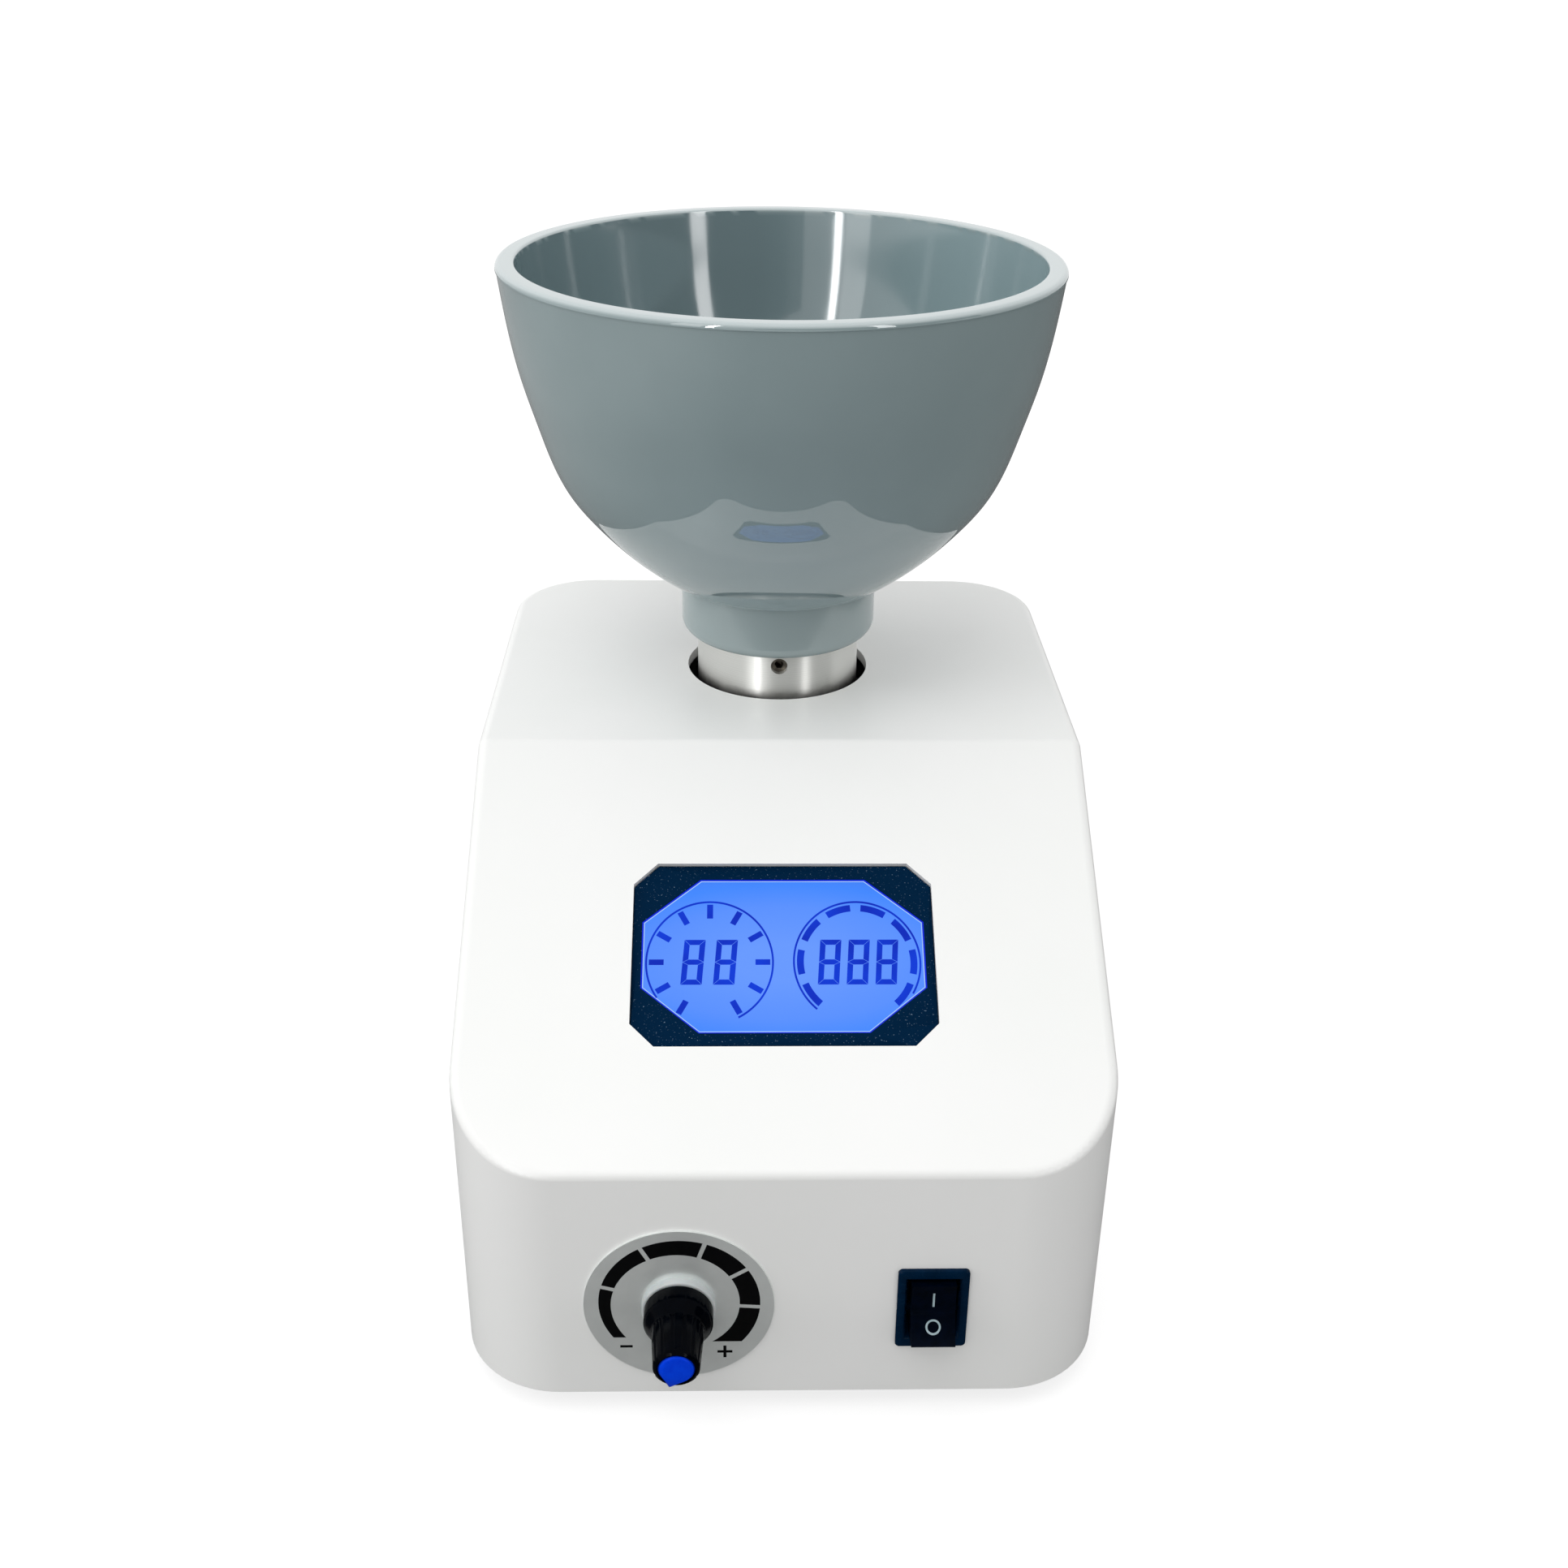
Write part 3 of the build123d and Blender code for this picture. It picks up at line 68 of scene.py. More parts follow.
def add(tree, kind, inputs=None, stops=(), **settings):
    """Add one node. Settings are its properties, and stops are a colour ramp's (position, colour)
    pairs from low to high. Inputs are its sockets, by name or number, and each is a plain value
    or another node's output socket, which is then linked."""
    node = tree.nodes.new(kind)
    for name, value in settings.items():
        setattr(node, name, value)
    for number, (position, colour) in enumerate(stops):
        elements = node.color_ramp.elements
        stop = elements[number] if number < 2 else elements.new(position)
        stop.position, stop.color = position, colour
    for name, value in (inputs or {}).items():
        if isinstance(value, bpy.types.NodeSocket):
            tree.links.new(value, node.inputs[name])
        else:
            node.inputs[name].default_value = value
    return node


def mottle(tree, place, size, low, high):
    """Soft blotches of a real size in metres between two colours or two grey levels."""
    noise = add(tree, "ShaderNodeTexNoise", {"Vector": place, "Scale": 1 / size, "Detail": 3.0})
    shade = add(tree, "ShaderNodeValToRGB", {"Fac": noise.outputs["Fac"]},
                stops=[(0.32, low), (0.68, high)])
    return shade.outputs["Color"]


def relief(tree, shader, place, size, depth, detail=2.0):
    """Fine bumps of a real size and depth in metres on the shader's surface."""
    noise = add(tree, "ShaderNodeTexNoise", {"Vector": place, "Scale": 1 / size, "Detail": detail})
    bump = add(tree, "ShaderNodeBump", {"Height": noise.outputs["Fac"], "Distance": depth})
    tree.links.new(bump.outputs["Normal"], shader.inputs["Normal"])


def parts_of(material):
    """A material's node tree, its Principled shader and its object coordinates."""
    tree = material.node_tree
    return tree, tree.nodes["Principled BSDF"], tree.nodes["Texture Coordinate"].outputs["Object"]


def new_material(name, tint=None, rough=None, light=None, bumps=None, **shader_values):
    """A material with one Principled shader whose sockets take the given values, underscores
    standing for spaces. Each of tint, rough and light is the size of its blotches and the two
    values between which they run: hex colours of the surface, its roughness, and hex colours of
    the light that it gives off. Bumps are what relief takes: a size, a depth, maybe a detail."""
    made = bpy.data.materials.new(name)
    made.use_nodes = True
    made.node_tree.nodes.new("ShaderNodeTexCoord")
    tree, shader, place = parts_of(made)
    for socket, value in shader_values.items():
        shader.inputs[socket.replace("_", " ")].default_value = value
    for blotches, colour, socket in ((tint, linear, "Base Color"), (rough, grey, "Roughness"),
                                     (light, linear, "Emission Color")):
        if blotches:
            size, low, high = blotches
            tree.links.new(mottle(tree, place, size, colour(low), colour(high)),
                           shader.inputs[socket])
    if bumps:
        relief(tree, shader, place, *bumps)
    return made


def dress(material, *nodes):
    """Give CAD nodes that keep their own mesh a material."""
    for name in nodes:
        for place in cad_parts[name].material_slots:
            place.material = material


def smoothed(node, material, body, angle=28):
    """A merged copy of a CAD node stands for it: its facets are shaded as round faces up to the
    given angle between them, and flat faces keep their own normals."""
    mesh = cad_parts[node].data.copy()
    mesh.name = node + "_surface"
    form = bmesh.new()
    form.from_mesh(mesh)
    bmesh.ops.remove_doubles(form, verts=form.verts, dist=0.001 * MM)
    form.to_mesh(mesh)
    form.free()
    mesh.shade_smooth()
    mesh.set_sharp_from_angle(angle=np.radians(angle))
    mesh.materials.clear()
    mesh.materials.append(material)
    piece = bpy.data.objects.new(node + "_surface", mesh)
    bpy.context.scene.collection.objects.link(piece)
    even = piece.modifiers.new("even_normals", "WEIGHTED_NORMAL")
    even.keep_sharp = True
    even.weight = 80
    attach(piece, body)
    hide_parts(node)
    return piece


# zinc plate: cloudy crystals 4 mm across, seen as patches of slightly different roughness
zinc = new_material("zinc_plated_pressed_steel", tint=(4 * MM, "#A4A9AD", "#BCC0C2"),
                    rough=(6 * MM, 0.30, 0.42), bumps=(0.8 * MM, 0.01 * MM), Metallic=1.0)
smoothed("base_plate", zinc, "chassis")
smoothed("drive_plate", zinc, "chassis")


# ---------------------------------------------------------------- feet
# Four black rubber feet, compression moulded, each held by a screw and nut through the base
# plate. Moulded rubber is a dull charcoal with a fine grain and a trace of dust.
foot_rubber = new_material("moulded_nitrile_rubber", tint=(3 * MM, "#17181A", "#232426"),
                           rough=(2 * MM, 0.62, 0.78), bumps=(0.35 * MM, 0.02 * MM), IOR=1.52)
smoothed("rubber_feet", foot_rubber, "chassis")


# ---------------------------------------------------------------- screws and nuts
# Bought machine screws, self-tapping screws and nuts of cold-headed steel, bright zinc plated:
# a clean pale metal with a fine grain. The potentiometer's case has the same plating.
screw_steel = new_material("bright_plated_fastener_steel", tint=(0.6 * MM, "#AEB1B3", "#C9CBCC"),
                           rough=(0.4 * MM, 0.22, 0.36), bumps=(0.2 * MM, 0.006 * MM),
                           Metallic=1.0)
dress(screw_steel, "foot_screws", "foot_nuts", "base_screws", "standoff_screws", "motor_screws",
      "bearing_housing_screws", "display_screws", "inlet_nuts", "power_board_screws",
      "motor_pulley_grub_screw", "potentiometer_nut", "potentiometer")
smoothed("inlet_screws", screw_steel, "chassis")


# ---------------------------------------------------------------- drive frame and bearings
# Turned standoffs and a turned bearing housing of aluminium carry the spindle in two ball
# bearings of hardened steel: lathe rings on the aluminium, a bright ground face on the bearings.
turned_aluminium = new_material("turned_aluminium", rough=(5 * MM, 0.28, 0.4), Metallic=1.0)
tree, shader, place = parts_of(turned_aluminium)
height = add(tree, "ShaderNodeSeparateXYZ", {"Vector": place}).outputs["Z"]
rings = add(tree, "ShaderNodeTexNoise", {"W": height, "Scale": 1 / (0.5 * MM), "Detail": 3.0},
            noise_dimensions="1D")
shade = add(tree, "ShaderNodeValToRGB", {"Fac": rings.outputs["Fac"]},
            stops=[(0, linear("#B4B6B8")), (1, linear("#D6D7D8"))])
tree.links.new(shade.outputs["Color"], shader.inputs["Base Color"])
groove = add(tree, "ShaderNodeBump", {"Height": rings.outputs["Fac"], "Distance": 0.01 * MM})
tree.links.new(groove.outputs["Normal"], shader.inputs["Normal"])
dress(turned_aluminium, "standoffs", "bearing_housing", "driven_pulley", "motor_pulley",
      "spindle_spacer", "power_heat_sink", "power_board_posts")

bearing_steel = new_material("ground_bearing_steel", tint=(1 * MM, "#B9BBBD", "#CDCECF"),
                             rough=(1 * MM, 0.10, 0.18), Metallic=1.0)
dress(bearing_steel, "bearing_outer_rings", "bearing_inner_rings", "bearing_balls",
      "spindle_shaft", "spindle_circlip", "motor_shaft")


# ---------------------------------------------------------------- belt
# A V-belt of black neoprene, wrapped in a woven cover before it is cured, so it is matt, with the
# weave's ribs slanting across it.
belt_cover = new_material("neoprene_belt_fabric", IOR=1.5, Roughness=0.8)
tree, shader, place = parts_of(belt_cover)
weave = add(tree, "ShaderNodeTexWave", {"Vector": place, "Scale": 1 / (6 * MM), "Distortion": 1.5,
                                        "Detail": 2.0}, bands_direction="DIAGONAL")
cloth = add(tree, "ShaderNodeValToRGB", {"Fac": weave.outputs["Fac"]},
            stops=[(0, linear("#141414")), (1, linear("#26262A"))])
tree.links.new(cloth.outputs["Color"], shader.inputs["Base Color"])
rib = add(tree, "ShaderNodeBump", {"Height": weave.outputs["Fac"], "Distance": 0.05 * MM})
tree.links.new(rib.outputs["Normal"], shader.inputs["Normal"])
dress(belt_cover, "drive_belt")


# ---------------------------------------------------------------- motor
# A permanent-magnet motor: a drawn steel can, painted black at the works, a moulded end cap with
# two brass tags, and a wound armature on the shaft inside it.
can_enamel = new_material("baked_black_enamel_on_steel", tint=(8 * MM, "#1B1C1E", "#26272A"),
                          rough=(3 * MM, 0.26, 0.38), bumps=(1.0 * MM, 0.015 * MM), IOR=1.52)
dress(can_enamel, "motor_can")

black_nylon = new_material("moulded_black_nylon", tint=(4 * MM, "#0B0D10", "#14171B"),
                           rough=(1.5 * MM, 0.34, 0.48), bumps=(0.25 * MM, 0.012 * MM), IOR=1.53)
dress(black_nylon, "motor_end_cap")

brass = new_material("tinned_contact_brass", tint=(1 * MM, "#C7B27C", "#D9CDA8"),
                     rough=(0.5 * MM, 0.25, 0.4), Metallic=1.0)
dress(brass, "motor_terminals", "switch_terminals", "potentiometer_lugs")

copper = new_material("enamelled_copper_winding", rough=(2 * MM, 0.3, 0.45), Metallic=1.0,
                      Coat_Weight=0.6, Coat_Roughness=0.2)
tree, shader, place = parts_of(copper)
turns = add(tree, "ShaderNodeTexWave", {"Vector": place, "Scale": 1 / (4 * MM), "Distortion": 0.6},
            bands_direction="Z")
wire = add(tree, "ShaderNodeValToRGB", {"Fac": turns.outputs["Fac"]},
           stops=[(0, linear("#6B3A1E")), (1, linear("#C47A4A"))])
tree.links.new(wire.outputs["Color"], shader.inputs["Base Color"])
dress(copper, "motor_armature")


# ---------------------------------------------------------------- circuit boards
# The power board and the display's driver board: green lacquered glass-fibre laminate, with a
# wound transformer, sleeved capacitors and black moulded parts soldered to them.
laminate = new_material("lacquered_glass_fibre_board", rough=(2 * MM, 0.35, 0.5), IOR=1.55,
                        Coat_Weight=0.4, Coat_Roughness=0.15)
tree, shader, place = parts_of(laminate)
tracks = add(tree, "ShaderNodeTexBrick", {"Vector": place, "Scale": 1 / (12 * MM),
                                          "Mortar Size": 0.05, "Color1": linear("#0E5A33"),
                                          "Color2": linear("#0C4F2D"),
                                          "Mortar": linear("#2E8A55")})
tree.links.new(tracks.outputs["Color"], shader.inputs["Base Color"])
dress(laminate, "power_board", "display_board")
dress(black_nylon, "display_board_parts")

lacquer_tape = new_material("polyester_tape_over_windings", tint=(5 * MM, "#B58A1E", "#D2A63A"),
                            rough=(2 * MM, 0.22, 0.35), bumps=(3 * MM, 0.05 * MM), IOR=1.55)
dress(lacquer_tape, "power_transformer")

sleeve = new_material("heat_shrunk_pvc_sleeve", tint=(6 * MM, "#10182A", "#182238"),
                      rough=(2 * MM, 0.2, 0.32), IOR=1.53)
dress(sleeve, "power_capacitors")


# ---------------------------------------------------------------- mains inlet
# A bought appliance inlet of black glass-filled nylon with three nickel-plated pins, held to the
# back of the housing by two screws: a matt, faintly cloudy moulding.
pin_nickel = new_material("nickel_plated_brass_pin", tint=(0.8 * MM, "#B8B6AE", "#CDCBC4"),
                          rough=(0.5 * MM, 0.16, 0.28), Metallic=1.0)
smoothed("inlet_pins", pin_nickel, "chassis")
smoothed("inlet_body", black_nylon, "chassis")


# ---------------------------------------------------------------- housing
# One thick injection moulding of ABS, wet sanded and sprayed with white satin lacquer. The
# lacquer has a faint orange peel, and the light slides over it softly.
painted_abs = new_material("satin_white_lacquer_on_abs", tint=(60 * MM, "#F1F2F0", "#F4F4F3"),
                           rough=(9 * MM, 0.33, 0.38), bumps=(1.6 * MM, 0.012 * MM), IOR=1.5)
smoothed("housing", painted_abs, "chassis", angle=24)
shell_low, shell_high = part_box("housing")
front_y, floor_z, deck_z = shell_low.y, shell_low.z, shell_high.z


# ---------------------------------------------------------------- display
# A frame of black ABS let into the slope holds the liquid-crystal glass and the blue edge-lit
# panel behind it. The frame is spark-textured and catches dust.
frame_abs = new_material("spark_textured_black_abs", rough=(2 * MM, 0.34, 0.46),
                         bumps=(0.3 * MM, 0.02 * MM), IOR=1.52, Specular_IOR_Level=0.015)
tree, shader, place = parts_of(frame_abs)
specks = add(tree, "ShaderNodeTexNoise", {"Vector": place, "Scale": 1 / (0.35 * MM), "Detail": 3.0})
# painted light: between the dust specks the frame's black is tinted navy, as the display's blue light
# would tint it
dust_on_painted_glow = add(tree, "ShaderNodeValToRGB", {"Fac": specks.outputs["Fac"]},
           stops=[(0.66, linear("#00203C")), (0.76, linear("#7890A6"))])
tree.links.new(dust_on_painted_glow.outputs["Color"], shader.inputs["Base Color"])
smoothed("display_frame", frame_abs, "chassis")
dress(frame_abs, "display_backlight")

crease_z = floor_z + 59.2 * MM        # top of the front face, where the slope begins
deck_start = 89.7 * MM                # front face to the crease of the deck
slope_across = Vector((0, deck_start, deck_z - crease_z)).normalized()
slope_out = Vector((0, -slope_across.z, slope_across.y))
glass_depth = 1.3 * MM                # glass below the slope's face
glow_middle = 48.2 * MM               # up the slope from the front crease
glow_reach = 27 * MM                  # from the glow's middle to the deepest blue, up the slope
glow_squeeze = (0.44, 1, 1)           # the glow is wider than it is tall


def on_slope(points):
    """Places on the display's glass from (x, distance up the slope) in metres: the crease's point
    plus the distance along the slope, sunk by the glass's depth along its normal."""
    x, up = np.asarray(points, float).T
    start = np.array([0, front_y, crease_z])
    return (start + np.outer(x, (1, 0, 0)) + np.outer(up, slope_across)
            - glass_depth * np.array(slope_out))


# the backlight is brightest in the middle and falls to a deeper blue at the panel's edges
liquid_crystal = new_material("backlit_liquid_crystal_glass", tint=(14 * MM, "#16306E", "#1A3678"),
                              IOR=1.5, Specular_IOR_Level=0.2, Roughness=0.06,
                              Emission_Strength=0.86)
tree, shader, place = parts_of(liquid_crystal)
middle = on_slope([(0, glow_middle)])[0]
offset = add(tree, "ShaderNodeVectorMath", {0: place, 1: tuple(middle)}, operation="SUBTRACT")
squeezed = add(tree, "ShaderNodeVectorMath", {0: offset.outputs["Vector"], 1: glow_squeeze},
               operation="MULTIPLY")
radius = add(tree, "ShaderNodeVectorMath", {0: squeezed.outputs["Vector"]}, operation="LENGTH")
share = add(tree, "ShaderNodeMath", {0: radius.outputs["Value"], 1: glow_reach},
            operation="DIVIDE")
glow = add(tree, "ShaderNodeValToRGB", {"Fac": share.outputs["Value"]},
           stops=[(0.16, linear("#689AFC")), (0.5, linear("#5890FA")), (0.7, linear("#3A86FA")),
                  (1.0, linear("#3566DC"))])
tree.links.new(glow.outputs["Color"], shader.inputs["Emission Color"])
smoothed("display_glass", liquid_crystal, "chassis")


def plates(name, edge_pairs, rise, material, body):
    """Thin printed shapes as one closed mesh. Each pair of edges is two rows of points; a plate's
    section at each station is the four corners edge_a, edge_b, edge_b + rise and edge_a + rise,
    joined to the next station's corners, with a flat cap on each end."""
    points, faces, first = [], [], 0
    for edge_a, edge_b in edge_pairs:
        edge_a, edge_b = np.asarray(edge_a), np.asarray(edge_b)
        stations = len(edge_a)
        lift = np.broadcast_to(np.asarray(rise, float), edge_a.shape)
        grid = np.stack([edge_a, edge_b, edge_b + lift, edge_a + lift], axis=1)
        corner = first + 4 * np.arange(stations - 1)[:, None] + np.arange(4)
        beside = first + 4 * np.arange(stations - 1)[:, None] + (np.arange(4) + 1) % 4
        quads = np.stack([corner, beside, beside + 4, corner + 4], axis=-1).reshape(-1, 4)
        caps = np.array([[3, 2, 1, 0], [0, 1, 2, 3]]) + [[first], [first + 4 * (stations - 1)]]
        points.append(grid.reshape(-1, 3))
        faces.append(np.vstack([quads, caps]))
        first += 4 * stations
    mesh = bpy.data.meshes.new(name)
    mesh.from_pydata(np.vstack(points).tolist(), [], np.vstack(faces).tolist())
    form = bmesh.new()
    form.from_mesh(mesh)
    bmesh.ops.remove_doubles(form, verts=form.verts, dist=0.0005 * MM)
    bmesh.ops.recalc_face_normals(form, faces=form.faces)
    form.to_mesh(mesh)
    form.free()
    mesh.materials.append(material)
    piece = bpy.data.objects.new(name, mesh)
    bpy.context.scene.collection.objects.link(piece)
    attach(piece, body)
    return piece


def bar(start, end, widths):
    """Two edges of a straight bar between two flat points. The widths are those at even steps
    along it; each edge is the middle line plus or minus half of the width across it."""
    start, end = np.array(start, float), np.array(end, float)
    along = (end - start) / np.linalg.norm(end - start)
    across = np.array([-along[1], along[0]])
    steps = np.linspace(0, 1, len(widths))[:, None]
    line = start + steps * (end - start)
    half = np.array(widths)[:, None] / 2
    return line - half * across, line + half * across


def arc_band(centre, inner, outer, start, end, stretch=1.0):
    """Two edges of a band round a centre, between angles in degrees clockwise from the top: each
    point is the centre plus radius times (sin angle, stretch times cos angle)."""
    turn = np.radians(np.linspace(start, end, max(int(abs(end - start) / 3), 4)))
    way = np.column_stack([np.sin(turn), stretch * np.cos(turn)])
    centre = np.array(centre, float)
    inner = np.broadcast_to(inner, turn.shape)[:, None]
    outer = np.broadcast_to(outer, turn.shape)[:, None]
    return centre + inner * way, centre + outer * way


# the crystal's dark marks: two dials, the seconds with ticks and the speed with blocks, and
# seven-segment figures that lean to the right
seconds_centre = np.array([-16.0, 48.2]) * MM
speed_centre = np.array([15.9, 48.2]) * MM
dial_radius = 13.9 * MM
tall = 1.066                          # the dials are a little taller than they are wide
line = 0.42 * MM
tick_inner, tick_outer, tick_width = 9.9 * MM, 13.1 * MM, 1.32 * MM
block_inner, block_outer = 11.55 * MM, 13.05 * MM
block_half = 12.7                     # degrees each side of a block's middle
print_height = 0.03 * MM
marks = [arc_band(seconds_centre, dial_radius - line, dial_radius, -125, 153, tall),
         arc_band(speed_centre, dial_radius - line, dial_radius, -139.5, 121, tall)]
for angle in np.arange(-150, 151, 30):
    turn = np.radians(angle)
    way = np.array([np.sin(turn), tall * np.cos(turn)])
    marks.append(bar(seconds_centre + tick_inner * way, seconds_centre + tick_outer * way,
                     [tick_width] * 2))
for block_middle in np.arange(-126, 127, 36):
    marks.append(arc_band(speed_centre, block_inner, block_outer, block_middle - block_half,
                          block_middle + block_half, tall))


def figure(corner, width, height, lean):
    """The seven bars of an 8 in a box with this lower left corner. The outer six are mitred like
    the sides of a picture frame and the middle one is pointed. A point (x, y) of the box goes to
    corner + (x + lean * y / height, y)."""
    thick, gap = 1.22 * MM, 0.06 * MM
    middle, inner = height / 2, thick + gap
    level = [[(gap, 0), (width - gap, 0)], [(inner, thick), (width - inner, thick)]]
    upright = [[(0, gap), (0, middle - gap)], [(thick, inner), (thick, middle - thick / 2 - gap)]]
    bars = [np.array([[(2 * gap, middle), (inner, middle + side * thick / 2),
                       (width - inner, middle + side * thick / 2), (width - 2 * gap, middle)]
                      for side in (-1, 1)])]
    for turned_over in (0, 1):
        flip = np.array([1, 1 - 2 * turned_over])
        shift = np.array([0, turned_over * height])
        bars.append(np.array(level) * flip + shift)
        bars.append(np.array(upright) * flip + shift)
        bars.append(np.array(upright) * flip * (-1, 1) + shift + (width, 0))
    leaned = [edges + np.stack([lean * edges[..., 1] / height, 0 * edges[..., 1]], axis=-1)
              for edges in bars]
    return [tuple(edges + corner) for edges in leaned]


figure_foot = 42.85 * MM
figure_width, figure_height, figure_lean = 4.6 * MM, 10.7 * MM, 0.78 * MM
for left in np.array([-22.25, -15.25, 7.25, 13.45, 19.65]) * MM:
    marks += figure((left, figure_foot), figure_width, figure_height, figure_lean)

crystal_dark = new_material("energised_liquid_crystal", tint=(9 * MM, "#020830", "#030C3A"),
                            light=(9 * MM, "#0028BE", "#003ADC"), IOR=1.5,
                            Specular_IOR_Level=0.1, Roughness=0.06, Emission_Strength=0.9)
plates("display_marks", [(on_slope(a), on_slope(b)) for a, b in marks],
       print_height * np.array(slope_out), crystal_dark, "chassis")

# the lamp's light leaks out round the glass: a deep blue line along the frame, and beside it the
# bright line of the glass's ground edge
window_middle = np.array([0, 49.9]) * MM
window_half = np.array([30.75, 18.45]) * MM
window_cut = np.array([12.6, 10.5]) * MM


def window_ring(inset):
    """Corners of the eight-sided window, moved in by a distance: a straight side moves by it, and
    the slant through (half_x - cut_x, half_y) and (half_x, half_y - cut_y) moves at right angles."""
    half_x, half_y = window_half - inset
    cut_x, cut_y = window_cut
    reach = cut_y * (window_half[0] - cut_x) + cut_x * window_half[1] - inset * np.hypot(cut_x, cut_y)
    top = (reach - cut_x * half_y) / cut_y
    side = (reach - cut_y * half_x) / cut_x
    quarter = np.array([(top, half_y), (half_x, side)])
    way = np.array([(1, 1), (1, -1), (-1, -1), (-1, 1)])
    corners = np.concatenate([(quarter if k % 2 == 0 else quarter[::-1]) * way[k] for k in range(4)])
    return window_middle + np.vstack([corners, corners[:1]])


line_height = 0.02 * MM
for name, near, far, low, high in (("edge_leak", 0.0, 0.36, "#0824DC", "#0C2CE4"),
                                   ("edge_gleam", 0.36, 0.56, "#A6CCFF", "#B4D6FF")):
    edge_light = new_material(name + "_of_backlit_glass", light=(9 * MM, low, high), IOR=1.5,
                              Base_Color=linear("#0A1440"), Specular_IOR_Level=0.1, Roughness=0.1,
                              Emission_Strength=0.9)
    outer_ring, inner_ring = window_ring(near * MM), window_ring(far * MM)
    plates("display_" + name, [(on_slope(outer_ring[i:i + 2]), on_slope(inner_ring[i:i + 2]))
                               for i in range(8)],
           line_height * np.array(slope_out), edge_light, "chassis")


# ---------------------------------------------------------------- dial
# A disc of satin-anodised aluminium glued to the front, screen printed in black with a speed
# scale of six blocks that widen clockwise, and with minus and plus signs.
dial_low, dial_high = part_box("dial_plate")
dial_middle = (dial_low + dial_high) / 2
dial_face = dial_low.y
dial_metal = new_material("satin_anodised_aluminium", tint=(7 * MM, "#E6EAE8", "#EEF2F0"),
                          rough=(1 * MM, 0.31, 0.36), bumps=(0.3 * MM, 0.006 * MM), Metallic=0.6)
smoothed("dial_plate", dial_metal, "chassis")


def on_dial(points):
    """Places on the dial's face from (right, up) of its middle, in metres."""
    right, up = np.asarray(points, float).T
    return np.column_stack([dial_middle.x + right, np.full_like(right, dial_face),
                            dial_middle.z + up])


def level_angle(radius, level, side):
    """Clockwise angle from the top, in degrees, at which a circle meets a level: the arc cosine
    of the level over the radius, on the left side (-1) or the right (1)."""
    return side * np.degrees(np.arccos(level / radius))


scale_middle = np.array([0.1, 0.65]) * MM                     # from the middle of the dial
scale_outer = 16.95 * MM
scale_gaps = [-74.3, -28.0, 18.7, 57.0, 93.8]                 # clockwise from the top
scale_start, scale_end = -126, 132                            # about where the scale ends
start_level, end_level = -9.5 * MM, -10.8 * MM                # where its ends are cut level
gap_width = 0.95 * MM
inner_angles = [-131, -89, -28, 19, 56, 93, 135]
inner_radii = np.array([14.9, 14.4, 13.4, 13.0, 12.75, 12.65, 12.8]) * MM


def scale_block(start, end):
    """Inner and outer edge of the block between two gaps, in degrees clockwise from the top. An
    end stands back from its gap's middle by the angle half the gap's width over the radius, and
    an end of the whole scale, where there is no gap (None), is cut level."""
    steps = np.linspace(0, 1, 24)
    about = ((scale_start if start is None else start) * (1 - steps)
             + steps * (scale_end if end is None else end))
    edges = []
    for radii in (np.interp(about, inner_angles, inner_radii), np.full(24, scale_outer)):
        half_gap = np.degrees(gap_width / 2 / radii)
        first = level_angle(radii[0], start_level, -1) if start is None else start + half_gap[0]
        last = level_angle(radii[-1], end_level, 1) if end is None else end - half_gap[-1]
        turn = np.radians(first + steps * (last - first))
        edges.append(scale_middle + np.column_stack([radii * np.sin(turn), radii * np.cos(turn)]))
    return edges


scale_ends = [None, *scale_gaps, None]
blocks = [scale_block(start, end) for start, end in zip(scale_ends[:-1], scale_ends[1:])]
sign_stroke = 0.65 * MM
minus_middle, minus_half = np.array([-11.3, -11.4]) * MM, 1.32 * MM
plus_middle, plus_half, plus_half_height = np.array([9.6, -13.05]) * MM, 1.6 * MM, 1.67 * MM
for middle, half in ((minus_middle, minus_half), (plus_middle, plus_half)):
    blocks.append(bar(middle - (half, 0), middle + (half, 0), [sign_stroke] * 2))
for way in (-1, 1):
    blocks.append(bar(plus_middle + (0, way * sign_stroke / 2),
                      plus_middle + (0, way * plus_half_height), [sign_stroke] * 2))
print_ink = new_material("screen_printed_black_ink", tint=(2 * MM, "#010102", "#030304"),
                         rough=(0.6 * MM, 0.38, 0.5), IOR=1.5, Specular_IOR_Level=0.1)
plates("dial_print", [(on_dial(a), on_dial(b)) for a, b in blocks], (0, -print_height, 0),
       print_ink, "chassis")


# ---------------------------------------------------------------- knob and its ring
# A white nylon washer trims the hole. The knob is black ABS with a shoulder, a finely grooved
# taper and a blue pointer cap pressed into its end.
white_nylon = new_material("moulded_white_nylon", tint=(3 * MM, "#BAC0C1", "#C4C9C9"),
                           rough=(1 * MM, 0.36, 0.46), IOR=1.53, Subsurface_Weight=0.1,
                           Subsurface_Scale=1 * MM)
smoothed("dial_ring", white_nylon, "chassis")

gloss_abs = new_material("gloss_black_abs", tint=(3 * MM, "#000104", "#010308"),
                         rough=(1.2 * MM, 0.08, 0.16), bumps=(0.5 * MM, 0.008 * MM), IOR=1.53,
                         Specular_IOR_Level=0.03)
smoothed("speed_knob", gloss_abs, "knob")

blue_cap = new_material("moulded_blue_abs", tint=(2 * MM, "#003ADC", "#0042E6"),
                        rough=(1 * MM, 0.26, 0.36), bumps=(0.5 * MM, 0.008 * MM), IOR=1.53,
                        Specular_IOR_Level=0.04)
smoothed("knob_cap", blue_cap, "knob", angle=40)
dress(turned_aluminium, "potentiometer_shaft")
